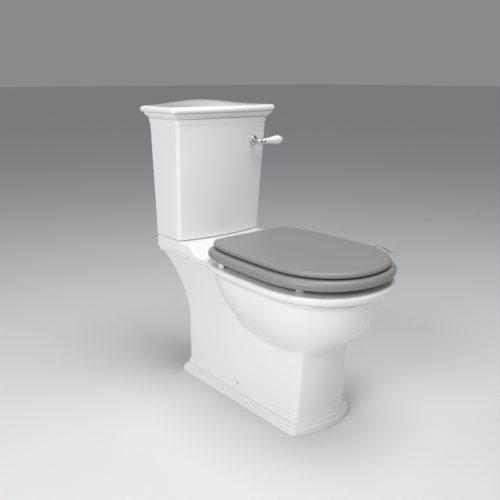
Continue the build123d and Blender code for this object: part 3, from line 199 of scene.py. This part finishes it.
def surface(name, grid, field):
    """Mesh of a field's zero level, its vertices drawn onto the level and its normals taken from it."""
    shape = (len(grid.xs), len(grid.ys), len(grid.zs))
    field = np.array(np.broadcast_to(field, shape), dtype=np.float32, order="C")
    volume = openvdb.FloatGrid(20.0)
    volume.copyFromArray(field)
    at, quads = volume.convertToQuads(isovalue=0.0)
    at = at.astype(float)
    for _ in range(2):
        direction = slope(field, at)
        square = np.maximum((direction**2).sum(1), 1e-6)
        step = -(sample(field, at) / square)[:, None] * direction
        at += np.clip(step, -0.4, 0.4)
    normals = slope(field, at)
    normals /= np.maximum(np.linalg.norm(normals, axis=1), 1e-9)[:, None]
    places = (at * grid.step + grid.low) * MM
    corner = places[quads]
    facing = np.cross(corner[:, 1] - corner[:, 0], corner[:, 2] - corner[:, 0])
    if (facing * normals[quads[:, 0]]).sum() < 0:
        quads = quads[:, ::-1]
    return mesh_object(name, places.tolist(), quads.tolist(), normals)


def mesh_object(name, places, faces, normals=None):
    """Smooth-shaded mesh from vertices and faces."""
    mesh = bpy.data.meshes.new(name)
    mesh.from_pydata([tuple(p) for p in places], [], [tuple(f) for f in faces])
    mesh.validate()
    mesh.polygons.foreach_set("use_smooth", [True] * len(mesh.polygons))
    if normals is not None and len(normals) == len(mesh.vertices):
        mesh.normals_split_custom_set_from_vertices(normals.tolist())
    mesh.update()
    thing = bpy.data.objects.new(name, mesh)
    bpy.context.scene.collection.objects.link(thing)
    return thing


def turned(name, profile, origin, along, segments=72):
    """Solid of revolution: (distance along, radius) pairs, the first and last of them on the axis."""
    start, stop = profile[0][0], profile[-1][0]
    profile = profile[1:-1]
    along = Vector(along).normalized()
    across = along.orthogonal().normalized()
    up = along.cross(across)
    places, faces = [], []
    for distance, radius in profile:
        for k in range(segments):
            turn = 2 * math.pi * k / segments
            rim = across * math.cos(turn) + up * math.sin(turn)
            places.append((Vector(origin) + along * distance + rim * radius) * MM)
    for row in range(len(profile) - 1):
        for k in range(segments):
            a, b = row * segments + k, row * segments + (k + 1) % segments
            faces.append((a, b, b + segments, a + segments))
    first, last = len(places), len(places) + 1
    places.append((Vector(origin) + along * start) * MM)
    places.append((Vector(origin) + along * stop) * MM)
    end = (len(profile) - 1) * segments
    for k in range(segments):
        faces.append((first, (k + 1) % segments, k))
        faces.append((last, end + k, end + (k + 1) % segments))
    return mesh_object(name, places, faces)


def crisp(thing, angle=35):
    """Smooth shading that keeps edges sharper than an angle."""
    thing.data.set_sharp_from_angle(angle=math.radians(angle))
    return thing


# ---------------------------------------------------------------- finishes
def finish(name, colour, rough, metallic=0.0, uneven=0.02, scale=30.0, ripple=0.0, coat=0.0):
    """Material whose colour, roughness and surface vary a little from place to place."""
    material = bpy.data.materials.new(name)
    material.use_nodes = True
    tree = material.node_tree
    shader = tree.nodes["Principled BSDF"]
    shader.inputs["Metallic"].default_value = metallic
    shader.inputs["Coat Weight"].default_value = coat
    shader.inputs["Coat Roughness"].default_value = 0.04
    place = tree.nodes.new("ShaderNodeTexCoord")
    noise = tree.nodes.new("ShaderNodeTexNoise")
    noise.inputs["Scale"].default_value = scale
    noise.inputs["Detail"].default_value = 3.0
    tree.links.new(place.outputs["Object"], noise.inputs["Vector"])
    ramp = tree.nodes.new("ShaderNodeValToRGB")
    ramp.color_ramp.elements[0].position = 0.3
    ramp.color_ramp.elements[1].position = 0.7
    ramp.color_ramp.elements[0].color = [c * (1 - uneven) for c in colour] + [1]
    ramp.color_ramp.elements[1].color = [min(c * (1 + uneven), 1) for c in colour] + [1]
    tree.links.new(noise.outputs["Fac"], ramp.inputs["Fac"])
    tree.links.new(ramp.outputs["Color"], shader.inputs["Base Color"])
    spread = tree.nodes.new("ShaderNodeMapRange")
    spread.inputs["To Min"].default_value = rough * 0.8
    spread.inputs["To Max"].default_value = rough * 1.2
    tree.links.new(noise.outputs["Fac"], spread.inputs["Value"])
    tree.links.new(spread.outputs["Result"], shader.inputs["Roughness"])
    if ripple:
        waves = tree.nodes.new("ShaderNodeTexNoise")
        waves.inputs["Scale"].default_value = scale * 0.5
        tree.links.new(place.outputs["Object"], waves.inputs["Vector"])
        bump = tree.nodes.new("ShaderNodeBump")
        bump.inputs["Strength"].default_value = ripple
        bump.inputs["Distance"].default_value = 0.001
        tree.links.new(waves.outputs["Fac"], bump.inputs["Height"])
        tree.links.new(bump.outputs["Normal"], shader.inputs["Normal"])
    return material


FINISHES = {
    "ceramic": finish("glazed_ceramic", (0.87, 0.87, 0.86), 0.09,
                      uneven=0.006, scale=12, ripple=0.03, coat=0.5),
    "handle_ceramic": finish("glazed_handle", (0.90, 0.90, 0.89), 0.08,
                             uneven=0.006, scale=60, coat=0.5),
    "seat_paint": finish("painted_seat", (0.275, 0.272, 0.260), 0.38,
                         uneven=0.015, scale=90, ripple=0.04),
    "chrome": finish("chrome", (0.62, 0.63, 0.65), 0.06, 1.0, uneven=0.01, scale=120),
    "steel": finish("zinc_plated_steel", (0.55, 0.55, 0.54), 0.32, 1.0,
                    uneven=0.06, scale=220, ripple=0.05),
    "brass": finish("brass", (0.70, 0.52, 0.22), 0.28, 1.0, uneven=0.05, scale=180),
    "white_plastic": finish("white_plastic", (0.80, 0.80, 0.77), 0.42,
                            uneven=0.02, scale=160, ripple=0.05),
    "grey_plastic": finish("grey_plastic", (0.26, 0.28, 0.31), 0.45,
                           uneven=0.05, scale=160, ripple=0.06),
    "float_plastic": finish("float_plastic", (0.66, 0.72, 0.78), 0.5,
                            uneven=0.03, scale=140, ripple=0.08),
    "buffer": finish("soft_buffer", (0.84, 0.84, 0.82), 0.5, uneven=0.02, scale=200, ripple=0.05),
    "black_rubber": finish("black_rubber", (0.03, 0.03, 0.03), 0.65,
                           uneven=0.15, scale=240, ripple=0.1),
}
SLOT_OF = {s["node"]: s["material_slot"] for s in frame["record"]["subparts"]}
BODY_OF = {n: body for body, members in frame["record"]["behaviour"]["bodies"].items() for n in members}

for name, thing in frame["nodes"].items():
    thing.data.materials.clear()
    thing.data.materials.append(FINISHES[SLOT_OF[name]])


def stands_for(thing, node):
    """The piece takes a CAD node's place, body and finish."""
    thing.data.materials.append(FINISHES[SLOT_OF[node]])
    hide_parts(node)
    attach(thing, BODY_OF[node])
    return thing


# ---------------------------------------------------------------- pan
SHELF_TOP = 434.0
RIM_TOP = 407.0
FLARE_START, FLARE_TOP = 185.0, 388.0
WALL = 12.0
PEDESTAL_HALF, PEDESTAL_REAR = 91.5, 241.0
FOOT_TOP, NARROW_TOP = 41.0, 205.0  # between these the front corners draw in
TAPER_END = 40.0  # y from which the pedestal narrows forwards
HOLLOW_TAPER_END = -40.0  # and its hollow
BOWL_TOP, BOWL_MIDDLE = 373.0, -157.0
OUTLET_START, OUTLET_END, OUTLET_Z = 244.0, 284.0, 185.0
TRAP_RADIUS, TRAP_WALL, TRAP_BEND = 38.0, 10.0, 62.0
TRAP_REST = [(-40, 100), (78, 232), (150, OUTLET_Z), (330, OUTLET_Z)]
VALVE_Y = 254.0
INLET_X, INLET_Y = -88.0, 285.0
BOLT_X = 74.0
HINGE_X, HINGE_Y = 77.0, 88.0
SIDE_HOLE_Y, SIDE_HOLE_Z, SIDE_HOLE_RADIUS = 10.0, 51.0, 4.3


def pan_field(grid):
    """The whole casting, with its hollows and holes."""
    x, y = grid.flat()
    heights = grid.zs

    # pedestal: sides that sweep out under the shelf and narrow to a bowed front
    side_curve = bezier((PEDESTAL_HALF, FLARE_START), (PEDESTAL_HALF, 265),
                        (118.2, 350), (136, FLARE_TOP), 40)
    half_width = np.interp(heights, side_curve[:, 1], side_curve[:, 0]).astype(np.float32)[None, None, :]
    rear_curve = bezier((PEDESTAL_REAR, FLARE_START), (PEDESTAL_REAR, 260),
                        (282, 350), (314, FLARE_TOP), 40)
    rear = np.interp(heights, rear_curve[:, 1], rear_curve[:, 0]).astype(np.float32)[None, None, :]
    span = (FOOT_TOP, NARROW_TOP)
    corner = np.interp(heights, span, (-228, -236)).astype(np.float32)[None, None, :]
    front_half = np.interp(heights, span, (88, 82)).astype(np.float32)[None, None, :]
    narrowing = np.clip((TAPER_END - grid.y) / (TAPER_END - corner), 0, 1)
    plan_half = half_width + (front_half - half_width) * narrowing
    pedestal = bowed(grid.x, grid.y, plan_half, rear, corner, 20.0, 6.0)
    pedestal = np.maximum(pedestal, np.maximum(-grid.z, grid.z - 392))

    # foot: band, step, torus and cove
    foot_line = bowed(x, y, 106.5, 262.0, -232.5, 29.5, 9.0)
    foot_profile = np.vstack([
        [(-400, 0), (-1, 0), (0, 1)],
        bezier((0, 17), (0, 19.2), (-1.5, 20.2), (-4, 20.6), 8),
        [(-6.5, 21.2), (-6.5, 22.8)],
        bezier((-4.8, 24.2), (-4.2, 26), (-5.6, 29.4), (-9.4, 29.9), 10),
        [(-12.5, 30.1)],
        bezier((-12.5, 32), (-12.8, 34), (-14.4, 37), (-15, 42), 10),
        [(-15.2, 48), (-400, 48)],
    ])
    solid = np.maximum(join(pedestal, moulding(grid, foot_line, foot_profile), 5.0), -grid.z)

    # bowl: an egg-shaped bulge that melts into the pedestal
    outline = oval(150.0, -372.0, 70.0, BOWL_MIDDLE)
    share, reach = gauge(outline, BOWL_MIDDLE, x, y)
    forward = np.clip((BOWL_MIDDLE - y) / np.maximum(np.hypot(x, y - BOWL_MIDDLE), 1.0), 0, 1)
    depth = (200.0 - 15.0 * forward**6)[:, :, None]
    drop = np.clip((BOWL_TOP - grid.z) / depth, 0, 1.2)
    power = 1.8
    bulge = (share[:, :, None] ** power + drop**power) ** (1 / power) - 1
    bulge = bulge * reach[:, :, None] * 0.92
    bowl = np.maximum(bulge, grid.z - 381).astype(np.float32)
    solid = join(solid, bowl, 10.0)

    # bead and swelling rim
    rim_line = polygon(oval(179.3, -396.6, 90.0, -201.0), x, y)
    rim_profile = np.vstack([
        [(-400, 372.5), (-27.5, 372.5)],
        bezier((-27.5, 372.5), (-23.6, 372.7), (-22.4, 375), (-22.6, 376.6), 8),
        bezier((-22.6, 376.6), (-22.9, 379.0), (-24.6, 380.4), (-28.5, 380.6), 8),
        bezier((-28.5, 382), (-13, 383), (-1.2, 387), (0, 397.5), 14),
        bezier((0, 397.5), (0.2, 402.5), (-1.5, 406.6), (-7, RIM_TOP), 12),
        [(-12, RIM_TOP), (-400, RIM_TOP)],
    ])
    rim = moulding(grid, rim_line, rim_profile)
    solid = join(solid, rim, 2.5)

    # shelf: a rounded band over a fine bead, its top easing down to the rim
    qx, qy = np.abs(x) - 146 + 5, np.abs(y - 157) - 167 + 5
    shelf_line = np.hypot(np.maximum(qx, 0), np.maximum(qy, 0)) + np.minimum(np.maximum(qx, qy), 0) - 5
    shelf_profile = np.vstack([
        [(-400, 386), (-11, 386)],
        bezier((-8, 387), (-4.4, 387.6), (-3.6, 389.5), (-3.8, 391.5), 8),
        bezier((-3.9, 392.5), (-4.4, 393.6), (-6.5, 394.4), (-7.0, 395), 8),
        [(-7.0, 396.2)],
        bezier((-0.6, 398), (0, 400), (0, 402), (0, 405), 6),
        bezier((0, 426), (0, 431), (-2.5, SHELF_TOP), (-7, SHELF_TOP), 10),
        [(-12, SHELF_TOP), (-400, SHELF_TOP)],
    ])
    shelf = moulding(grid, shelf_line, shelf_profile)
    rise = np.clip((y - 108) / 60.0, 0, 1)
    ramp = RIM_TOP + (SHELF_TOP - RIM_TOP) * rise * rise * (3 - 2 * rise)
    shelf = limit(shelf, (grid.z - ramp[:, :, None]) * 0.85, 5.0)
    solid = np.maximum(join(solid, shelf, 3.0), grid.z - ramp[:, :, None])

    # bowl's inside, from the mouth down to the sump
    levels = [150.0, 200.0, 250.0, 310.0, 370.0, 408.0]
    shape = [eased(heights, levels, values) for values in (
        [38.0, 50.0, 74.0, 104.0, 120.0, 116.0],
        [-150.0, -196.0, -250.0, -306.0, -338.0, -332.0],
        [-62.0, -34.0, -14.0, 0.0, 0.0, -6.0],
        [-106.0, -115.0, -140.0, -165.0, -185.0, -185.0],
    )]
    hollow = np.stack([polygon(oval(*parts, 26), x, y) for parts in zip(*shape)], axis=-1)
    hollow = limit(hollow, np.broadcast_to(150 - grid.z, hollow.shape), 10.0)

    # trap: a bore that dips, climbs over the weir and runs out at the back
    path = smooth_path([(-106, 160)] + TRAP_REST, TRAP_BEND)
    bend = open_line(path, grid.ys[:, None], heights[None, :])[None, :, :]
    closed_path = smooth_path([(-117.8, 170.7)] + TRAP_REST, TRAP_BEND)
    closed_bend = open_line(closed_path, grid.ys[:, None], heights[None, :])[None, :, :]
    tube = np.hypot(grid.x, closed_bend) - TRAP_RADIUS - TRAP_WALL
    tube = np.maximum(tube, grid.y - OUTLET_END)
    across = np.hypot(grid.x, grid.z - OUTLET_Z)
    spigot = np.maximum(across - 51, np.maximum(OUTLET_START - grid.y, grid.y - OUTLET_END))
    bore = np.hypot(grid.x, bend) - TRAP_RADIUS
    bore = np.minimum(bore, np.maximum(across - 44, OUTLET_START + 1 - grid.y))

    # space under the bowl and shelf, open at the floor and at the back
    side_view = [(-222, -20), (-232, 200), (-120, 200), (-20, 300), (26, 395), (108, 395),
                 (168, 416), (312, 416), (312, 376), (420, 376), (420, -20)]
    below = polygon(side_view, grid.ys[:, None], heights[None, :])[None, :, :]
    inner_half = np.where(grid.y < HOLLOW_TAPER_END, plan_half, half_width) - WALL
    below = np.maximum(below, np.abs(grid.x) - inner_half)
    below = np.maximum(below, -(hollow - WALL))
    channel = slot_field(grid, 30.0, -30.0, 284.0, 364.0, 397.0)
    below = np.maximum(below, -slot_field(grid, 42.0, -42.0, 296.0, 352.0, 440.0))
    below = np.maximum(below, -upright(grid, 0, VALVE_Y, 54, 397, 440))

    solid = cut(solid, below, 2.0)
    solid = np.minimum(solid, np.minimum(np.maximum(tube, -below - 30), spigot))
    solid = cut(solid, hollow, 9.0)
    recess = upright(grid, 0, VALVE_Y, 46, 409, 450)
    throat = upright(grid, 0, VALVE_Y, 30, 369, 450)
    for void in (bore, channel, recess, throat):
        solid = cut(solid, void, 1.5)
    for side in (-1, 1):
        solid = np.maximum(solid, -upright(grid, side * BOLT_X, VALVE_Y, 6, 360, 450))
        solid = np.maximum(solid, -upright(grid, side * HINGE_X, HINGE_Y, 7, 360, 450))
    solid = np.maximum(solid, -upright(grid, INLET_X, INLET_Y, 20, 360, 450))
    side_hole = np.hypot(grid.y - SIDE_HOLE_Y, grid.z - SIDE_HOLE_Z) - SIDE_HOLE_RADIUS
    return np.maximum(solid, -np.maximum(side_hole, 60 - np.abs(grid.x)))


def slot_field(grid, half_width, start, end, low, high):
    """Round-ended slot along the centreline between two heights."""
    along = np.clip(grid.y, start + half_width, end - half_width)
    around = np.hypot(grid.x, grid.y - along) - half_width
    return np.maximum(around, np.maximum(low - grid.z, grid.z - high))


def smooth_path(points, radius):
    """Polyline with its corners turned into arcs."""
    path = [np.array(points[0], float)]
    for before, here, after in zip(points, points[1:], points[2:]):
        here = np.array(here, float)
        inward = np.array(before, float) - here
        outward = np.array(after, float) - here
        inward /= np.linalg.norm(inward)
        outward /= np.linalg.norm(outward)
        half = math.acos(np.clip(inward @ outward, -1, 1)) / 2
        reach = radius / math.tan(half)
        middle = here + (inward + outward) / np.linalg.norm(inward + outward) * radius / math.sin(half)
        first, last = here + inward * reach, here + outward * reach
        a = math.atan2(*(first - middle)[::-1])
        b = math.atan2(*(last - middle)[::-1])
        turn = (b - a + math.pi) % (2 * math.pi) - math.pi
        path += [middle + radius * np.array([math.cos(a + turn * k / 12), math.sin(a + turn * k / 12)])
                 for k in range(13)]
    path.append(np.array(points[-1], float))
    return path


def open_line(points, u, v):
    """Distance from an open line."""
    best = np.full(np.broadcast(u, v).shape, 1e12, np.float32)
    for (x0, y0), (x1, y1) in zip(points, points[1:]):
        ex, ey = x1 - x0, y1 - y0
        length = ex * ex + ey * ey
        if length < 1e-9:
            continue
        along = np.clip(((u - x0) * ex + (v - y0) * ey) / length, 0, 1)
        best = np.minimum(best, (u - x0 - along * ex) ** 2 + (v - y0 - along * ey) ** 2)
    return np.sqrt(best)


grid = Grid((-190, -407, -8), (190, 334, 444), PAN_STEP)
stands_for(surface("pan_glazed", grid, pan_field(grid)), "pan")


# ---------------------------------------------------------------- cistern
CISTERN_BOTTOM, TAPER_TOP, CISTERN_TOP = 434.3, 757.0, 774.0
CISTERN_HALF, CISTERN_CORNER, CISTERN_REAR = 145.5, 206.0, 322.0
WIDENING, LEANING = 11.0, 25.0  # over the height of the tapering wall
CISTERN_BOW, CISTERN_WALL = 20.0, 10.0
LEVER_X, LEVER_Z = 101.0, 706.0


def cistern_share(z):
    """How far up the tapering wall a height is."""
    return (z - CISTERN_BOTTOM) / (TAPER_TOP - CISTERN_BOTTOM)


def lever_place():
    """Where the lever's spindle leaves the bowed, leaning front, and the way it points."""
    share = cistern_share(LEVER_Z)
    half = CISTERN_HALF + WIDENING * share
    arc = (half**2 + CISTERN_BOW**2) / (2 * CISTERN_BOW)
    depth = math.sqrt(arc**2 - LEVER_X**2)
    front = CISTERN_CORNER - LEANING * share - CISTERN_BOW + arc - depth
    lean = LEANING / (TAPER_TOP - CISTERN_BOTTOM)
    out = Vector((LEVER_X / depth, -1.0, -lean)).normalized()
    return Vector((LEVER_X, front, LEVER_Z)), out


def cistern_field(grid):
    """Tapering box with a flared top, its hollow and its holes."""
    share = cistern_share(np.minimum(grid.z, TAPER_TOP))
    rise = np.clip((grid.z - TAPER_TOP) / (CISTERN_TOP - TAPER_TOP), 0, 1)
    flare = 3.5 * rise**1.4 + 1.2 * np.clip((grid.z - TAPER_TOP) / 1.5, 0, 1) * (1 - rise)
    half = CISTERN_HALF + WIDENING * share
    corner = CISTERN_CORNER - LEANING * share
    wall = bowed(grid.x, grid.y, half + flare, CISTERN_REAR + flare, corner - flare, CISTERN_BOW, 9.0)
    ends = np.maximum(CISTERN_BOTTOM - grid.z, grid.z - CISTERN_TOP)
    body = limit(wall, np.broadcast_to(ends, wall.shape), 1.5)
    inner = bowed(grid.x, grid.y, half - CISTERN_WALL, CISTERN_REAR - CISTERN_WALL,
                  corner + CISTERN_WALL, CISTERN_BOW, 8.0)
    inner = limit(inner, np.broadcast_to(446.3 - grid.z, inner.shape), 8.0)
    body = cut(body, inner, 3.0)
    holes = ((0, VALVE_Y, 28.5), (-BOLT_X, VALVE_Y, 5), (BOLT_X, VALVE_Y, 5), (INLET_X, INLET_Y, 11.4))
    for x, y, radius in holes:
        body = np.maximum(body, -upright(grid, x, y, radius, 420, 450))
    place, out = lever_place()
    dx, dy, dz = grid.x - place.x, grid.y - place.y, grid.z - place.z
    along = dx * out.x + dy * out.y + dz * out.z
    off = np.sqrt(np.maximum(dx * dx + dy * dy + dz * dz - along * along, 0))
    body = np.maximum(body, -np.maximum(off - 9.0, np.abs(along) - 26))
    for x in (-100, 100):
        hole = np.maximum(np.hypot(grid.x - x, grid.z - 690) - 4.0, 308 - grid.y)
        body = np.maximum(body, -hole)
    return body


grid = Grid((-170, 150, 427), (170, 334, 782), PAN_STEP)
stands_for(surface("cistern_glazed", grid, cistern_field(grid)), "cistern")


CROWN_Y = 288.0  # ridge of the cistern lid's crown
MOUTH_HALF, MOUTH_REAR, MOUTH_CORNER = 156.5, 322.0, 181.0  # cistern's outline under its lid


def cistern_lid_field(grid):
    """Ogee, groove and rounded nose, under a crown highest at its middle."""
    x, y = grid.flat()
    line = bowed(x, y, 181.0, 334.0, 164.0, CISTERN_BOW, 12.0, 3.0)
    profile = np.vstack([
        [(-400, 774.4), (-19, 774.4)],
        bezier((-17.8, 775), (-16.4, 776), (-16.4, 778), (-15.6, 779.4), 8),
        bezier((-14.8, 780), (-9, 781.5), (-9.6, 787), (-7.4, 789.4), 12),
        [(-11.5, 790.2)],
        bezier((-6.4, 790.8), (-2.2, 791.4), (0, 794.6), (0, 799.5), 10),
        [(0, 840), (-400, 840)],
    ])
    body = moulding(grid, line, profile)
    t = np.clip(np.abs(x) / 176.0, 0, 1)
    ahead, behind = np.clip((CROWN_Y - y) / 132.0, 0, 1), np.clip((y - CROWN_Y) / 60.0, 0, 1)
    dome = (1 - t) ** 2 * (1 + 1.7 * t) * (1 - ahead**2) * (1 - 0.3 * behind**2)
    body = limit(body, grid.z - (808 + 14 * dome)[:, :, None], 13.0)

    def inset(amount, radius):
        """Cistern's outline drawn in by an amount."""
        return bowed(x, y, MOUTH_HALF - amount, MOUTH_REAR - amount, MOUTH_CORNER + amount,
                     CISTERN_BOW, radius)[:, :, None]

    hollow = inset(17, 4.0)
    body = cut(body, np.maximum(hollow, grid.z - 800.0), 2.0)
    lip = inset(11, 8.0)
    lip = np.maximum(np.maximum(lip, -(lip + 6.0)), np.maximum(762.4 - grid.z, grid.z - 776))
    return np.minimum(body, lip)


grid = Grid((-187, 136, 757), (187, 342, 830), SMALL_STEP)
stands_for(surface("cistern_lid_glazed", grid, cistern_lid_field(grid)), "cistern_lid")


# ---------------------------------------------------------------- seat
def leaf_pockets(grid, x):
    """Plan of the two recesses for a pair of hinge leaves."""
    return np.maximum(np.abs(np.abs(grid.x) - x) - 6.0, np.abs(grid.y - 65.0) - 23.5)


def seat_ring_field(grid):
    """Egg-shaped ring with a rounded bar."""
    x, y = grid.flat()
    outer = polygon(oval(179.9, -395.0, 79.0, -201.0), x, y)
    inner = polygon(oval(113.9, -329.0, -28.0, -190.0), x, y)
    profile = np.vstack([
        [(-400, 422), (-9, 422)],
        bezier((-9, 422), (-4, 422), (0, 426), (0, 431), 10),
        bezier((0, 433.5), (0, 440.4), (-5.6, 446), (-12.5, 446), 14),
        [(-12.5, 446), (-400, 446)],
    ])
    return np.maximum(moulding(grid, outer, profile), moulding(grid, -inner, profile))


grid = Grid((-187, -402, 416), (187, 86, 452), SMALL_STEP)
ring_body = np.maximum(seat_ring_field(grid), -np.maximum(leaf_pockets(grid, 92.0), 443.1 - grid.z))
stands_for(surface("seat_ring_painted", grid, ring_body), "seat_ring")


def ring_buffer_field(grid):
    """Four soft pads between the ring and the rim, longest along the ring."""
    body = np.full((1, 1, 1), 1e3, np.float32)
    for side in (-1, 1):
        for x, y, lean in ((155.0, -8.0, 0.0), (130.0, -275.0, 0.62)):
            dx, dy = grid.x - side * x, grid.y - y
            turn = -side * lean
            u = dx * math.cos(turn) + dy * math.sin(turn)
            v = -dx * math.sin(turn) + dy * math.cos(turn)
            v = v - np.clip(v, -4.5, 4.5)
            body = np.minimum(body, limit(np.hypot(u, v) - 5.5, np.abs(grid.z - 414.7) - 7.3, 2.5))
    return body


grid = Grid((-168, -292, 403), (168, 12, 426), 1.0)
stands_for(surface("ring_buffers_soft", grid, ring_buffer_field(grid)), "ring_buffers")


def seat_lid_field(grid):
    """Thin board with a softly rounded edge and a barely domed top."""
    x, y = grid.flat()
    line = polygon(oval(161.2, -385.5, 75.3, -201.0), x, y)
    profile = np.vstack([
        [(-400, 450.5), (-3, 450.5)],
        bezier((-3, 450.5), (-1.2, 450.5), (0, 451.8), (0, 453.6), 6),
        bezier((0, 456.4), (0, 460.4), (-3.4, 462.6), (-8.6, 463.3), 12),
        bezier((-8.6, 463.3), (-28, 465.6), (-60, 466.5), (-90, 466.5), 12),
        [(-400, 466.5)],
    ])
    return moulding(grid, line, profile)


grid = Grid((-168, -392, 446), (168, 82, 471), SMALL_STEP)
lid_body = np.maximum(seat_lid_field(grid), -np.maximum(leaf_pockets(grid, 62.0), grid.z - 453.4))
stands_for(surface("seat_lid_painted", grid, lid_body), "seat_lid")


# ---------------------------------------------------------------- lever
place, out = lever_place()
HUB_REACH = 26.0
GRIP_START, GRIP_WIDEST, GRIP_END = 20.0, 79.0, 107.0
hub = place + out * HUB_REACH
level = Vector((-out.y, out.x, 0)).normalized()


def ball(radius, start, end, count=16):
    """Part of a sphere's profile between two places along its axis."""
    return [(radius * math.sin(a), radius * math.cos(a))
            for a in np.linspace(math.asin(start / radius), math.asin(end / radius), count)]


ROSE = [(-24.0, 0.0), (-24.0, 8.0), (0.6, 8.0), (0.6, 14.6), (1.4, 15.0), (2.6, 14.7), (3.5, 13.6),
        (3.8, 12.4), (4.6, 12.2), (5.2, 11.3), (5.7, 9.6), (6.4, 8.8), (6.9, 7.4), (7.0, 4.1), (7.0, 0.0)]
stands_for(crisp(turned("lever_rose", ROSE, place, out), 50), "lever_escutcheon")

STEM = [(-18.6, 0.0), (-18.6, 6.2), (-17.2, 6.5), (-13.0, 5.9), (-8.6, 5.7)]
hub_profile = STEM + ball(9.0, -6.4, 8.98, 20) + [(9.0, 0.0)]
stands_for(crisp(turned("lever_ball", hub_profile, hub, out), 40), "lever_hub")

NECK = [(0.0, 0.0), (0.0, 5.0), (8.6, 5.0), (9.6, 5.9), (11.0, 6.3), (12.4, 5.8), (13.2, 5.0),
        (14.0, 5.0), (14.0, 0.0)]
neck = turned("lever_neck", NECK, hub, level)
neck.data.materials.append(FINISHES["chrome"])
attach(neck, "lever")

COLLAR = [(14.0, 0.0), (14.0, 6.0), (14.8, 7.4), (16.6, 8.5), (18.2, 8.2), (19.2, 7.4),
          (GRIP_START, 7.5), (GRIP_START, 0.0)]
stands_for(crisp(turned("lever_ferrule", COLLAR, hub, level), 40), "lever_collar")

grip = np.vstack([
    [(GRIP_START, 0.0), (GRIP_START, 7.2), (20.4, 7.6)],
    bezier((20.8, 7.6), (48, 7.4), (63, 12.8), (GRIP_WIDEST, 12.8), 24),
    bezier((GRIP_WIDEST, 12.8), (86, 12.8), (96, 9.0), (104, 4.5), 16),
    bezier((104, 4.5), (106, 3.4), (GRIP_END, 2.0), (GRIP_END, 0.01), 8),
    [(GRIP_END, 0.0)],
])
stands_for(turned("lever_grip", [tuple(p) for p in grip], hub, level), "lever_handle")


# ---------------------------------------------------------------- lift handle
def capsule(grid, a, b, radius):
    """Round rod between two points."""
    a, b = np.array(a, float), np.array(b, float)
    d = b - a
    px, py, pz = grid.x - a[0], grid.y - a[1], grid.z - a[2]
    t = np.clip((px * d[0] + py * d[1] + pz * d[2]) / (d @ d), 0, 1)
    return np.sqrt((px - t * d[0]) ** 2 + (py - t * d[1]) ** 2 + (pz - t * d[2]) ** 2) - radius


PAD_PLACES = ((142, -204), (126, -270))
BOARD_BOTTOM = 450.5


def lift_handle_field(grid):
    """U of round rod under the lid's edge, on two drilled pads."""
    z = 448.35
    arms = np.minimum(capsule(grid, (*PAD_PLACES[0], z), (211, -227, z), 1.9),
                      capsule(grid, (*PAD_PLACES[1], z), (190, -289.4, z), 1.9))
    bar = capsule(grid, (211, -227, z), (182, -287, z), 1.5)
    body = join(arms, bar, 1.2)
    for x, y in PAD_PLACES:
        pad = np.maximum(np.hypot(grid.x - x, grid.y - y) - 7.0, np.abs(grid.z - 449.5) - 1.0)
        body = join(body, pad, 0.8)
    body = np.maximum(body, grid.z - BOARD_BOTTOM)
    for x, y in PAD_PLACES:
        body = np.maximum(body, 1.7 - np.hypot(grid.x - x, grid.y - y))
    return body


grid = Grid((114, -300, 444), (217, -194, 453), 0.6)
stands_for(surface("lift_handle_chrome", grid, lift_handle_field(grid)), "lift_handle")

for name, thing in frame["nodes"].items():
    if not thing.hide_render:
        thing.data.shade_smooth()
        thing.data.set_sharp_from_angle(angle=math.radians(30))


# ---------------------------------------------------------------- studio
def stage_material(name, colour, rough):
    """Matt paint for what stands round the object."""
    return finish(name, colour, rough, uneven=0.01, scale=3)


bpy.ops.mesh.primitive_plane_add(size=120, location=(0, 0, 0))
floor = bpy.context.object
floor.name = "floor"
floor.data.materials.append(stage_material("floor_paint", (0.74, 0.74, 0.74), 0.7))


def soft_light(name, place, target, size, watts):
    """Square lamp that faces a point."""
    lamp = bpy.data.lights.new(name, "AREA")
    lamp.size = size
    lamp.energy = watts
    thing = bpy.data.objects.new(name, lamp)
    thing.location = place
    thing.rotation_euler = (Vector(target) - Vector(place)).to_track_quat("-Z", "Y").to_euler()
    bpy.context.scene.collection.objects.link(thing)


soft_light("front_left", (-2.8, -0.9, 1.9), (0, 0, 0.4), 1.5, 60)
soft_light("front_right", (1.6, -2.8, 1.7), (0, 0, 0.45), 1.2, 6)
soft_light("overhead", (0.1, -0.5, 2.8), (0, 0, 0.3), 1.6, 40)

world = bpy.data.worlds.new("studio")
world.use_nodes = True
world.node_tree.nodes["Background"].inputs["Color"].default_value = (0.60, 0.61, 0.63, 1)
world.node_tree.nodes["Background"].inputs["Strength"].default_value = 0.42
bpy.context.scene.world = world
bpy.context.scene.view_settings.view_transform = "Standard"

eye = Vector((-1.0978, -1.2738, 0.8844))
azimuth, pitch = math.radians(39.26), math.radians(15.20)
level_part = math.cos(pitch)
ahead = Vector((math.sin(azimuth) * level_part, math.cos(azimuth) * level_part, -math.sin(pitch)))
camera_data = bpy.data.cameras.new("camera")
camera_data.sensor_width = 36.0
camera_data.lens = 45.7
camera_data.shift_x = 0.002
camera_data.shift_y = -0.0008
camera = bpy.data.objects.new("camera", camera_data)
camera.location = eye
camera.rotation_euler = ahead.to_track_quat("-Z", "Y").to_euler()
bpy.context.scene.collection.objects.link(camera)
bpy.context.scene.camera = camera
